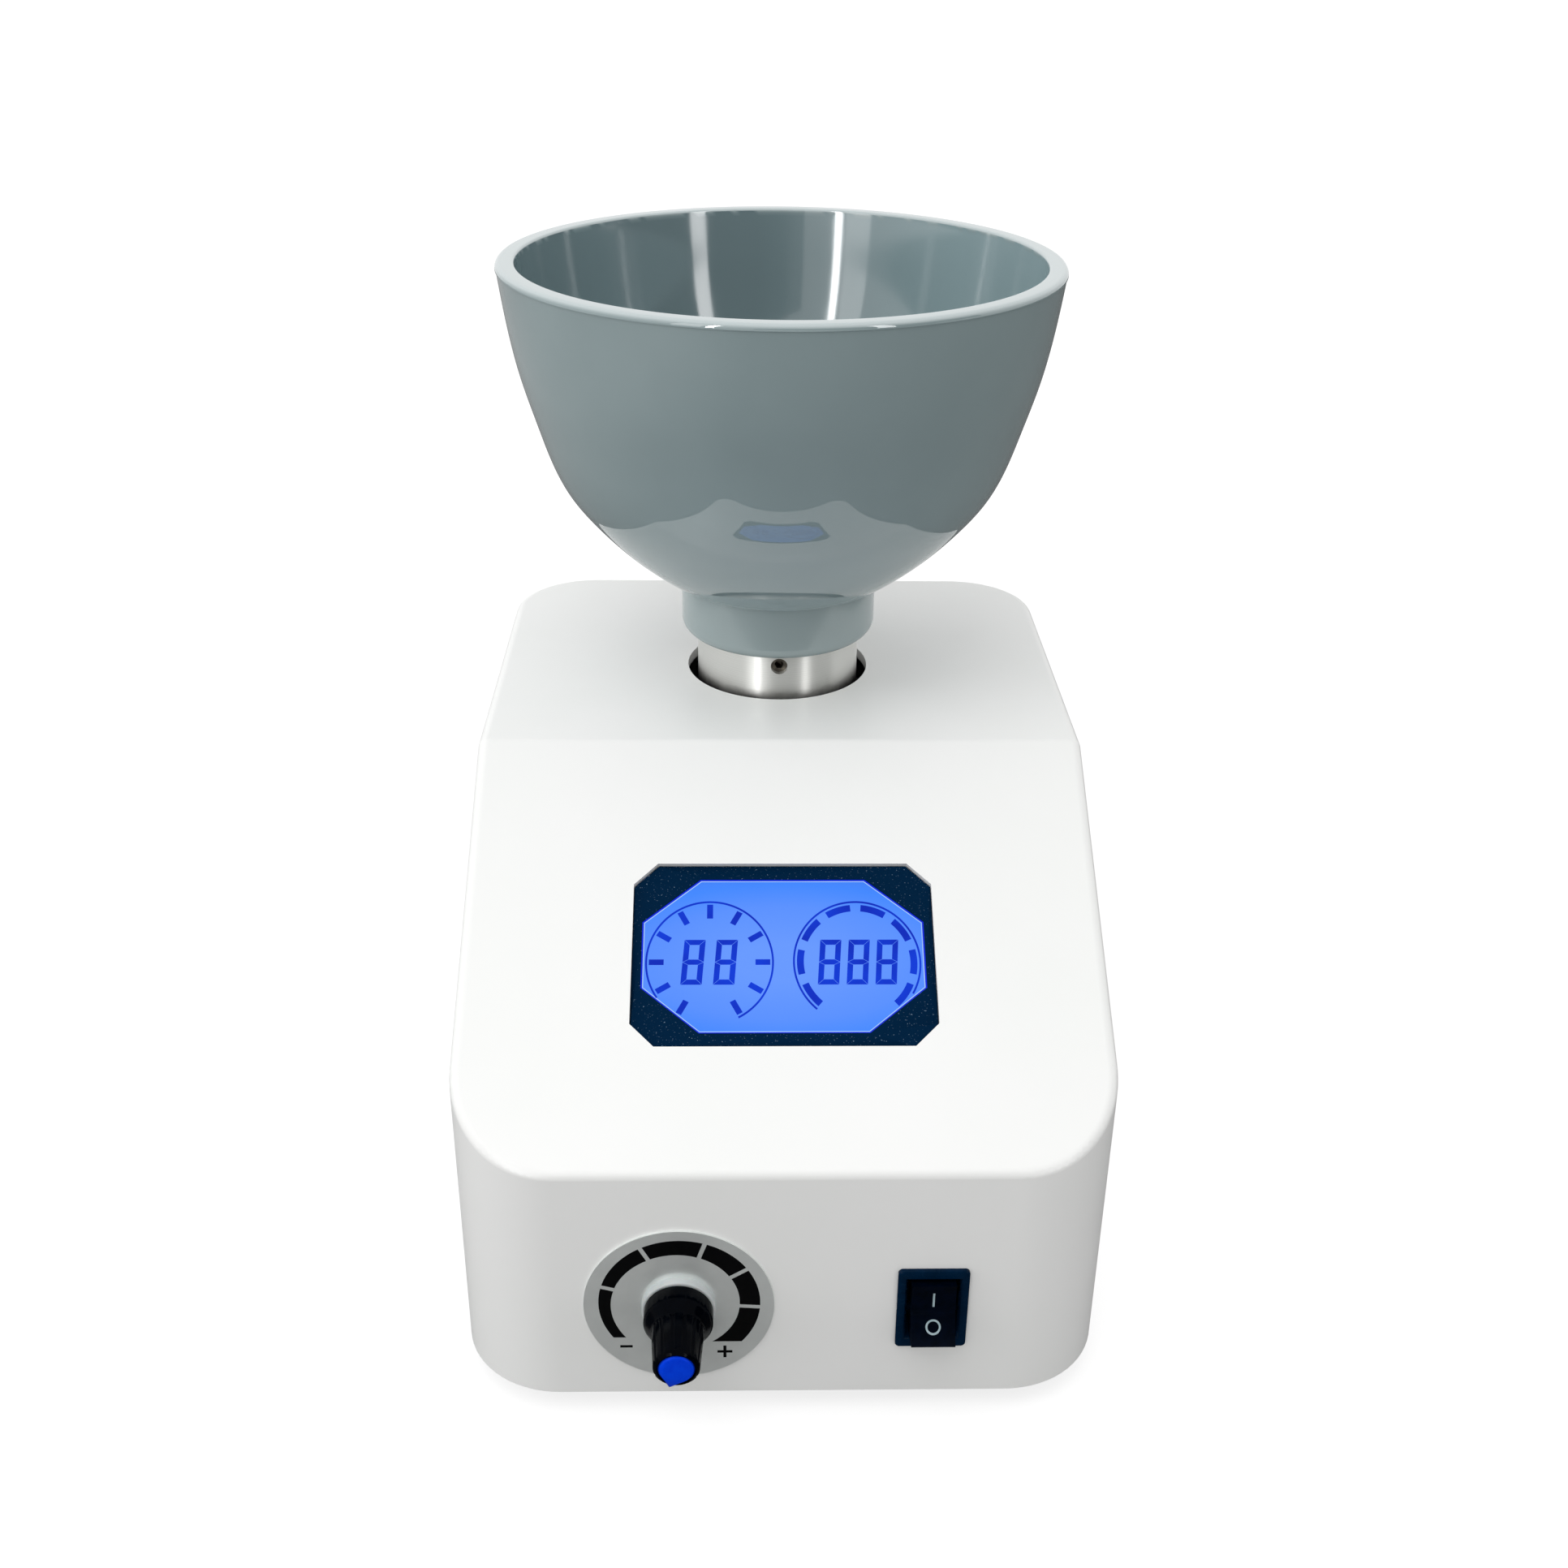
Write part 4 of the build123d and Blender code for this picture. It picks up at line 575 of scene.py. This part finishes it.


# ---------------------------------------------------------------- rocker switch
# A bought snap-in switch: a glossy black nylon bezel with chamfered edges, and a rocker with a
# hollow front that carries moulded-in pale on and off signs.
# painted sheen: the bezel's black is tinted blue for the bluish sheen on its bevels
switch_nylon = new_material("gloss_black_switch_nylon", tint=(3 * MM, "#001930", "#011E38"),
                            rough=(1.2 * MM, 0.2, 0.3), bumps=(0.5 * MM, 0.008 * MM), IOR=1.53,
                            Specular_IOR_Level=0.04)
smoothed("switch_body", switch_nylon, "chassis")

rocker_nylon = new_material("satin_black_rocker_nylon", tint=(2 * MM, "#00040D", "#010716"),
                            rough=(1.2 * MM, 0.3, 0.4), bumps=(0.4 * MM, 0.01 * MM), IOR=1.53,
                            Specular_IOR_Level=0.03)
smoothed("switch_rocker", rocker_nylon, "rocker")
bezel_low, bezel_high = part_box("switch_body")
rocker_x = (bezel_low.x + bezel_high.x) / 2
rocker_z = (bezel_low.z + bezel_high.z) / 2
pivot_depth = 0.5 * MM                # pivot behind the front face
hollow_middle = 3.2 * MM              # pivot to the lowest point of the hollow front
hollow_rise = 1.8 * MM                # hollow's ends above its middle
half_rocker = 7.0 * MM
rest_tilt = np.radians(14.0)
hollow_radius = (half_rocker ** 2 + hollow_rise ** 2) / (2 * hollow_rise)


def on_rocker(points):
    """Places on the rocker's hollow front from (right, up) of its middle. The front is an arc,
    out = middle + R - sqrt(R * R - up * up), and the whole is tilted about the pivot."""
    right, up = np.asarray(points, float).T
    out = hollow_middle + hollow_radius - np.sqrt(hollow_radius ** 2 - up ** 2)
    level = up * np.cos(rest_tilt) + out * np.sin(rest_tilt)
    reach = out * np.cos(rest_tilt) - up * np.sin(rest_tilt)
    return np.column_stack([rocker_x + right, front_y + pivot_depth - reach, rocker_z + level])


sign_ink = new_material("pale_two_shot_plastic", tint=(1 * MM, "#8FA6AE", "#A9BCC2"), IOR=1.5,
                        Roughness=0.4)
on_low, on_high, on_width = 1.4 * MM, 4.9 * MM, 0.44 * MM     # the I, above the rocker's middle
off_middle, off_inner, off_outer = -3.14 * MM, 1.2 * MM, 1.62 * MM
sign_height = 0.04 * MM
on_sign = bar((0, on_low), (0, on_high), [on_width] * 8)
off_sign = arc_band((0, off_middle), off_inner, off_outer, 0, 359.5)
sign_out = sign_height * np.array([0, -np.cos(rest_tilt), np.sin(rest_tilt)])
plates("rocker_signs", [(on_rocker(a), on_rocker(b)) for a, b in (on_sign, off_sign)], sign_out,
       sign_ink, "rocker")


# ---------------------------------------------------------------- hub
# The hub is turned from stainless bar and brushed while it spins, so fine scratches run round it
# and stretch each reflection into an upright band. A socket screw fixes it to the shaft.
foot_shade_low, foot_shade_high = deck_z - 2.3 * MM, deck_z + 1.1 * MM
foot_shade_climb = 1 * MM                  # how far the painted shade's edge wanders up and down
hub_steel = new_material("brushed_stainless_steel", Metallic=1.0, Roughness=0.34, Anisotropic=0.9,
                         Anisotropic_Rotation=0.25)
tree, shader, place = parts_of(hub_steel)
height = add(tree, "ShaderNodeSeparateXYZ", {"Vector": place}).outputs["Z"]
scratch = add(tree, "ShaderNodeTexNoise", {"W": height, "Scale": 1 / (0.12 * MM), "Detail": 5.0},
              noise_dimensions="1D")
tone = add(tree, "ShaderNodeValToRGB", {"Fac": scratch.outputs["Fac"]},
           stops=[(0.3, linear("#D6D6D2")), (0.7, linear("#E8E8E5"))])
# painted shade: the foot of the hub is darkened where it goes down into the hole, higher up in some
# places than in others
patches = add(tree, "ShaderNodeTexNoise", {"Vector": place, "Scale": 1 / (4 * MM), "Detail": 4.0})
climb = add(tree, "ShaderNodeMapRange", {"Value": patches.outputs["Fac"],
                                         "To Min": -foot_shade_climb, "To Max": foot_shade_climb})
uneven = add(tree, "ShaderNodeMath", {0: height, 1: climb.outputs["Result"]}, operation="ADD")
above_foot_shade = add(tree, "ShaderNodeMapRange", {"Value": uneven.outputs["Value"],
                                         "From Min": foot_shade_low, "From Max": foot_shade_high})
foot_shaded = add(tree, "ShaderNodeMix", {0: above_foot_shade.outputs["Result"], 6: linear("#3A3538"),
                                      7: tone.outputs["Color"]}, data_type="RGBA")
tree.links.new(foot_shaded.outputs[2], shader.inputs["Base Color"])
furrow = add(tree, "ShaderNodeBump", {"Height": scratch.outputs["Fac"], "Distance": 0.004 * MM})
tree.links.new(furrow.outputs["Normal"], shader.inputs["Normal"])
round_way = add(tree, "ShaderNodeTangent", direction_type="RADIAL", axis="Z")
tree.links.new(round_way.outputs["Tangent"], shader.inputs["Tangent"])
smoothed("drive_hub", hub_steel, "spindle")

black_oxide = new_material("black_oxide_screw_steel", tint=(0.8 * MM, "#4C4842", "#5E5A52"),
                           rough=(0.5 * MM, 0.3, 0.45), Metallic=1.0)
smoothed("hub_set_screw", black_oxide, "spindle")


# ---------------------------------------------------------------- bowl
# The bowl is cast in one piece from soft grey-blue PVC rubber against a polished mould, so it is
# very glossy outside, a little duller inside, and dullest on the thick skirt that grips the hub.
hub_low, hub_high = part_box("drive_hub")
bowl_low, bowl_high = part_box("mixing_bowl")
bowl_middle = ((bowl_low + bowl_high) / 2).xy
skirt_z, rim_z = bowl_low.z, bowl_high.z
rim_radius = (bowl_high.x - bowl_low.x) / 2
skirt_radius = 23.85 * MM
skirt_height = 13.1 * MM
wall = 4.4 * MM                       # at the rim
lower_walls = np.array([5.4, 5.4, 5.3, 5.1, 4.8, 4.5]) * MM     # at the belly's points, upwards
floor_thickness = 5.0 * MM
rim_band = 1.5 * MM                   # height of the lip round the rim
lip = 0.2 * MM                        # how far the lip stands out from the wall below it
lip_round = 1.2 * MM                  # its outer edge
rim_round = 0.6 * MM                  # where the rim's flat face turns into the inside
skirt_round = 3.0 * MM
socket_clearance = 0.3 * MM
socket_radius = (hub_high.x - hub_low.x) / 2 + socket_clearance
# the belly from skirt to rim, as shares of its width and of its height
belly = np.array([(0.0, 0.0), (0.179, 0.056), (0.349, 0.132), (0.552, 0.246), (0.660, 0.323),
                  (0.820, 0.540), (0.898, 0.682), (1.0, 1.0)])


def smooth_line(points, start_way, end_way, count):
    """A curve through points with no kinks, for a cubic spline with given end directions. Each
    point's tangent m solves h1*m0 + 2*(h0 + h1)*m + h0*m1 = 3*(h1*d0 + h0*d1), where h are the
    distances and d the slopes beside it; Hermite's cubic then fills each span."""
    points = np.asarray(points, float)
    steps = np.linalg.norm(np.diff(points, axis=0), axis=1)
    slopes = np.diff(points, axis=0) / steps[:, None]
    size = len(points)
    matrix, right = np.eye(size), np.zeros_like(points)
    inside = np.arange(1, size - 1)
    matrix[inside, inside - 1] = steps[1:]
    matrix[inside, inside] = 2 * (steps[:-1] + steps[1:])
    matrix[inside, inside + 1] = steps[:-1]
    right[inside] = 3 * (steps[1:, None] * slopes[:-1] + steps[:-1, None] * slopes[1:])
    right[0] = np.array(start_way) / np.linalg.norm(start_way)
    right[-1] = np.array(end_way) / np.linalg.norm(end_way)
    tangents = np.linalg.solve(matrix, right)
    knots = np.concatenate([[0], np.cumsum(steps)])
    along = np.linspace(0, knots[-1], count)
    span = np.clip(np.searchsorted(knots, along, side="right") - 1, 0, size - 2)
    share = ((along - knots[span]) / steps[span])[:, None]
    reach = steps[span][:, None]
    return (points[span] * (2 * share ** 3 - 3 * share ** 2 + 1)
            + tangents[span] * reach * (share ** 3 - 2 * share ** 2 + share)
            + points[span + 1] * (3 * share ** 2 - 2 * share ** 3)
            + tangents[span + 1] * reach * (share ** 3 - share ** 2))


def rounded(centre, radius, start, end, count=10):
    """Points of an arc in the profile's plane, angles in degrees from outwards, anticlockwise."""
    turn = np.radians(np.linspace(start, end, count))
    return np.column_stack([centre[0] + radius * np.cos(turn), centre[1] + radius * np.sin(turn)])


belly_low = skirt_z + skirt_height
belly_high = rim_z - rim_band
belly_start, rim_way = (1, 0.34), (0.13, 1)                   # (outwards, up) at the curve's ends
inside_rows = outside_rows = 90
lip_step = 0.05 * MM                  # the little slope under the lip
outside = np.column_stack([skirt_radius + belly[:, 0] * (rim_radius - lip - skirt_radius),
                           belly_low + belly[:, 1] * (belly_high - belly_low)])
between = outside[2:] - outside[:-2]
between /= np.linalg.norm(between, axis=1)[:, None]
inside_line = outside[1:-1] + lower_walls[:, None] * np.column_stack([-between[:, 1], between[:, 0]])
inside_line = np.vstack([[0, hub_high.z + floor_thickness], inside_line,
                         [rim_radius - wall, rim_z - rim_round]])
profile = np.vstack([
    smooth_line(inside_line, (1, 0), rim_way, inside_rows),
    rounded((rim_radius - wall + rim_round, rim_z - rim_round), rim_round, 180, 90),
    rounded((rim_radius - lip_round, rim_z - lip_round), lip_round, 90, 0),
    [[rim_radius, belly_high + lip_step]],
    smooth_line(outside, belly_start, rim_way, outside_rows)[::-1],
    rounded((skirt_radius - skirt_round, skirt_z + skirt_round), skirt_round, 0, -90, 14),
    [[socket_radius, skirt_z], [socket_radius, hub_high.z], [0, hub_high.z]],
])


def turned(name, outline, middle, count, inside_rows):
    """A solid of revolution about a vertical axis: the point at radius r and height z goes round
    as (middle_x + r cos t, middle_y + r sin t, z). Rows at the axis are merged into its poles.
    The attribute "inside" is 1 on the outline's first rows, which line the bowl, and 0 elsewhere."""
    turn = np.linspace(0, 2 * np.pi, count, endpoint=False)
    radius, level = outline[:, 0:1], outline[:, 1:2]
    grid = np.stack([middle[0] + radius * np.cos(turn), middle[1] + radius * np.sin(turn),
                     np.broadcast_to(level, (len(outline), count))], axis=-1)
    row = np.arange(len(outline) - 1)[:, None] * count
    here, beside = np.arange(count), (np.arange(count) + 1) % count
    quads = np.stack([row + here, row + beside, row + beside + count, row + here + count], axis=-1)
    mesh = bpy.data.meshes.new(name)
    mesh.from_pydata(grid.reshape(-1, 3).tolist(), [], quads.reshape(-1, 4).tolist())
    inside = mesh.attributes.new("inside", "FLOAT", "POINT")
    inside.data.foreach_set("value", np.repeat(np.arange(len(outline)) < inside_rows, count)
                            .astype(np.float32))
    form = bmesh.new()
    form.from_mesh(mesh)
    bmesh.ops.remove_doubles(form, verts=form.verts, dist=0.001 * MM)
    bmesh.ops.recalc_face_normals(form, faces=form.faces)
    form.to_mesh(mesh)
    form.free()
    mesh.shade_smooth()
    mesh.set_sharp_from_angle(angle=np.radians(32))
    piece = bpy.data.objects.new(name, mesh)
    bpy.context.scene.collection.objects.link(piece)
    return piece


bowl = turned("bowl_body", profile, bowl_middle, 240, inside_rows)    # 240 columns round
bowl_rubber = new_material("polished_soft_pvc_rubber", bumps=(22 * MM, 0.03 * MM, 1.0), IOR=1.8)
tree, shader, place = parts_of(bowl_rubber)
axes = add(tree, "ShaderNodeSeparateXYZ", {"Vector": place}).outputs
inside = add(tree, "ShaderNodeAttribute", attribute_name="inside").outputs["Fac"]

# colour: outside, a painted highlight makes the rubber pale at the very rim and painted light makes
# the skirt a little paler; inside, painted shade makes it darker on the left, lifting to the right
bowl_height = rim_z - skirt_z
skirt_top = skirt_height / bowl_height
rim_highlight_fade, rim_highlight_full = 0.9 * MM / bowl_height, 0.4 * MM / bowl_height      # below the rim
inside_shade_from, inside_shade_to = -5 * MM, 45 * MM                     # places along X
share = add(tree, "ShaderNodeMapRange", {"Value": axes["Z"], "From Min": skirt_z,
                                         "From Max": rim_z})
painted_light = add(tree, "ShaderNodeValToRGB", {"Fac": share.outputs["Result"]},
            stops=[(skirt_top, grey(0.16)), (skirt_top + 0.012, grey(0.0)),
                   (1 - rim_highlight_fade, grey(0.0)), (1 - rim_highlight_full, grey(0.72))])
outer_colour = add(tree, "ShaderNodeMix", {
    0: painted_light.outputs["Color"], 6: mottle(tree, place, 45 * MM, linear("#87989A"), linear("#8E9FA1")),
    7: linear("#C4CDCE")}, data_type="RGBA")
# painted shade inside the bowl: darkest on the left, lighter towards the right
across = add(tree, "ShaderNodeMapRange", {"Value": axes["X"], "From Min": inside_shade_from,
                                          "From Max": inside_shade_to})
inner_colour = add(tree, "ShaderNodeMix", {0: across.outputs["Result"], 6: linear("#6D8084"),
                                           7: linear("#8A9FA3")}, data_type="RGBA")
colour = add(tree, "ShaderNodeMix", {0: inside, 6: outer_colour.outputs[2],
                                     7: inner_colour.outputs[2]}, data_type="RGBA")
tree.links.new(colour.outputs[2], shader.inputs["Base Color"])

# roughness: the mould's polish outside, duller inside, and dullest on the skirt
gloss_patch = 12 * MM
skirt_fade = 0.6 * MM                 # height in which the skirt's finish gives way to the polish
polish = add(tree, "ShaderNodeMix", {
    0: inside, 6: mottle(tree, place, gloss_patch, grey(0.015), grey(0.03)),
    7: mottle(tree, place, gloss_patch, grey(0.07), grey(0.1))}, data_type="RGBA")
above_skirt = add(tree, "ShaderNodeMapRange", {"Value": axes["Z"],
                                               "From Min": belly_low - skirt_fade,
                                               "From Max": belly_low})
finish = add(tree, "ShaderNodeMix", {
    0: above_skirt.outputs["Result"],
    6: mottle(tree, place, gloss_patch, grey(0.14), grey(0.18)), 7: polish.outputs[2]},
    data_type="RGBA")
tree.links.new(finish.outputs[2], shader.inputs["Roughness"])
bowl.data.materials.append(bowl_rubber)
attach(bowl, "bowl")
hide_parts("mixing_bowl")


# ---------------------------------------------------------------- studio
# A pale floor that keeps the machine's shadow, in a white room. Softboxes stand above it in front
# and to the left, and three upright strips draw the streaks inside the bowl.
studio_floor = bpy.data.meshes.new("studio_floor")
floor_reach = 6.0
square = np.array([(-1, -1), (1, -1), (1, 1), (-1, 1)])
studio_floor.from_pydata([(x, y, 0) for x, y in floor_reach * square], [], [(0, 1, 2, 3)])
floor_paint = new_material("matt_white_studio_floor", tint=(0.5, "#949494", "#989898"),
                           Roughness=0.9, Emission_Color=grey(1.0))
tree, shader, place = parts_of(floor_paint)


def seen_directly(tree):
    """1 for rays that come from the camera or through a reflection or clear glass, else 0."""
    rays = add(tree, "ShaderNodeLightPath")
    seen = add(tree, "ShaderNodeMath", {0: rays.outputs["Is Camera Ray"],
                                        1: rays.outputs["Is Glossy Ray"]}, operation="MAXIMUM")
    return add(tree, "ShaderNodeMath", {0: seen.outputs["Value"],
                                        1: rays.outputs["Is Transmission Ray"]},
               operation="MAXIMUM").outputs["Value"]


# white paper under the lamps: it is only darker where the machine keeps the light off it
paper_glow = 0.78
paper = add(tree, "ShaderNodeMath", {0: seen_directly(tree), 1: paper_glow},
            operation="MULTIPLY")
tree.links.new(paper.outputs["Value"], shader.inputs["Emission Strength"])
studio_floor.materials.append(floor_paint)
floor_piece = bpy.data.objects.new("studio_floor", studio_floor)
bpy.context.scene.collection.objects.link(floor_piece)

# two grey cards that the camera can't see, one flat on the floor and one upright in front and to
# the right, keep glossy parts from mirroring a room that is white all round
card_half, card_rise = 1.2, 0.001
pale_until, dark_from = -0.36, -0.1                           # places along X
upright_left, upright_right, upright_top = (-0.6, -2.9), (3.2, -0.5), 1.3
flag_mesh = bpy.data.meshes.new("grey_flags")
flag_mesh.from_pydata([(x, y, card_rise) for x, y in card_half * square]
                      + [(*upright_left, 0), (*upright_right, 0), (*upright_right, upright_top),
                         (*upright_left, upright_top)], [], [(0, 1, 2, 3), (4, 5, 6, 7)])
flag_card = new_material("grey_studio_card", Roughness=0.8, Specular_IOR_Level=0.0)
tree, shader, place = parts_of(flag_card)
sideways = add(tree, "ShaderNodeSeparateXYZ", {"Vector": place}).outputs["X"]
share = add(tree, "ShaderNodeMapRange", {"Value": sideways, "From Min": pale_until,
                                         "From Max": dark_from})
shade = add(tree, "ShaderNodeValToRGB", {"Fac": share.outputs["Result"]},
            stops=[(0, linear("#B4B4B4")), (1, linear("#6C6C6C"))])
tree.links.new(shade.outputs["Color"], shader.inputs["Base Color"])
flag_mesh.materials.append(flag_card)
flag = bpy.data.objects.new("grey_flags", flag_mesh)
bpy.context.scene.collection.objects.link(flag)
flag.visible_camera = flag.visible_diffuse = flag.visible_shadow = False

# the room is white where the camera sees it, and lights the rest a little less
room = bpy.data.worlds.new("white_room")
room.use_nodes = True
bpy.context.scene.world = room
tree = room.node_tree
level = add(tree, "ShaderNodeMapRange", {"Value": seen_directly(tree), "To Min": 0.85,
                                         "To Max": 1.0})
tree.nodes["Background"].inputs["Color"].default_value = grey(1.0)
tree.links.new(level.outputs["Result"], tree.nodes["Background"].inputs["Strength"])


def softbox(name, stands, aims, width, height, watts):
    """A rectangular lamp that stands at one place and aims at another."""
    lamp = bpy.data.lights.new(name, "AREA")
    lamp.shape = "RECTANGLE"
    lamp.size, lamp.size_y = width, height
    lamp.energy = watts
    piece = bpy.data.objects.new(name, lamp)
    piece.location = stands
    piece.rotation_euler = (Vector(aims) - Vector(stands)).to_track_quat("-Z", "Y").to_euler()
    bpy.context.scene.collection.objects.link(piece)
    return piece


key = softbox("key_softbox", (-0.32, -0.6, 1.5), (0, 0, 0.1), width=1.0, height=0.9, watts=5.6)
left = softbox("left_softbox", (-1.5, -0.2, 0.6), (0, 0, 0.15), width=1.0, height=1.0, watts=5.8)
key.visible_glossy = left.visible_glossy = False
strip_tall, strip_level = 1.6, 0.85
for name, x, y, width, watts in (("wide_strip", 1.2, -1.47, 0.25, 6.8),
                                 ("bright_strip", -0.88, -1.63, 0.11, 9.0),
                                 ("soft_strip", -1.17, -1.5, 0.40, 3.4)):
    strip = softbox(name, (x, y, strip_level), (0, 0.04, strip_level), width, strip_tall, watts)
    strip.visible_diffuse = False

# the camera stands in front and looks down at the machine
camera_data = bpy.data.cameras.new("camera")
camera_data.lens = 41.63
camera_data.sensor_width = 36.0
camera = bpy.data.objects.new("camera", camera_data)
camera.location = np.array([-9.726, -377.375, 304.299]) * MM
camera.rotation_euler = np.radians([62.42731, -0.69899, -1.24572])       # tilt, roll and turn
bpy.context.scene.collection.objects.link(camera)
bpy.context.scene.camera = camera
bpy.context.scene.view_settings.view_transform = "Standard"

bpy.context.view_layer.update()
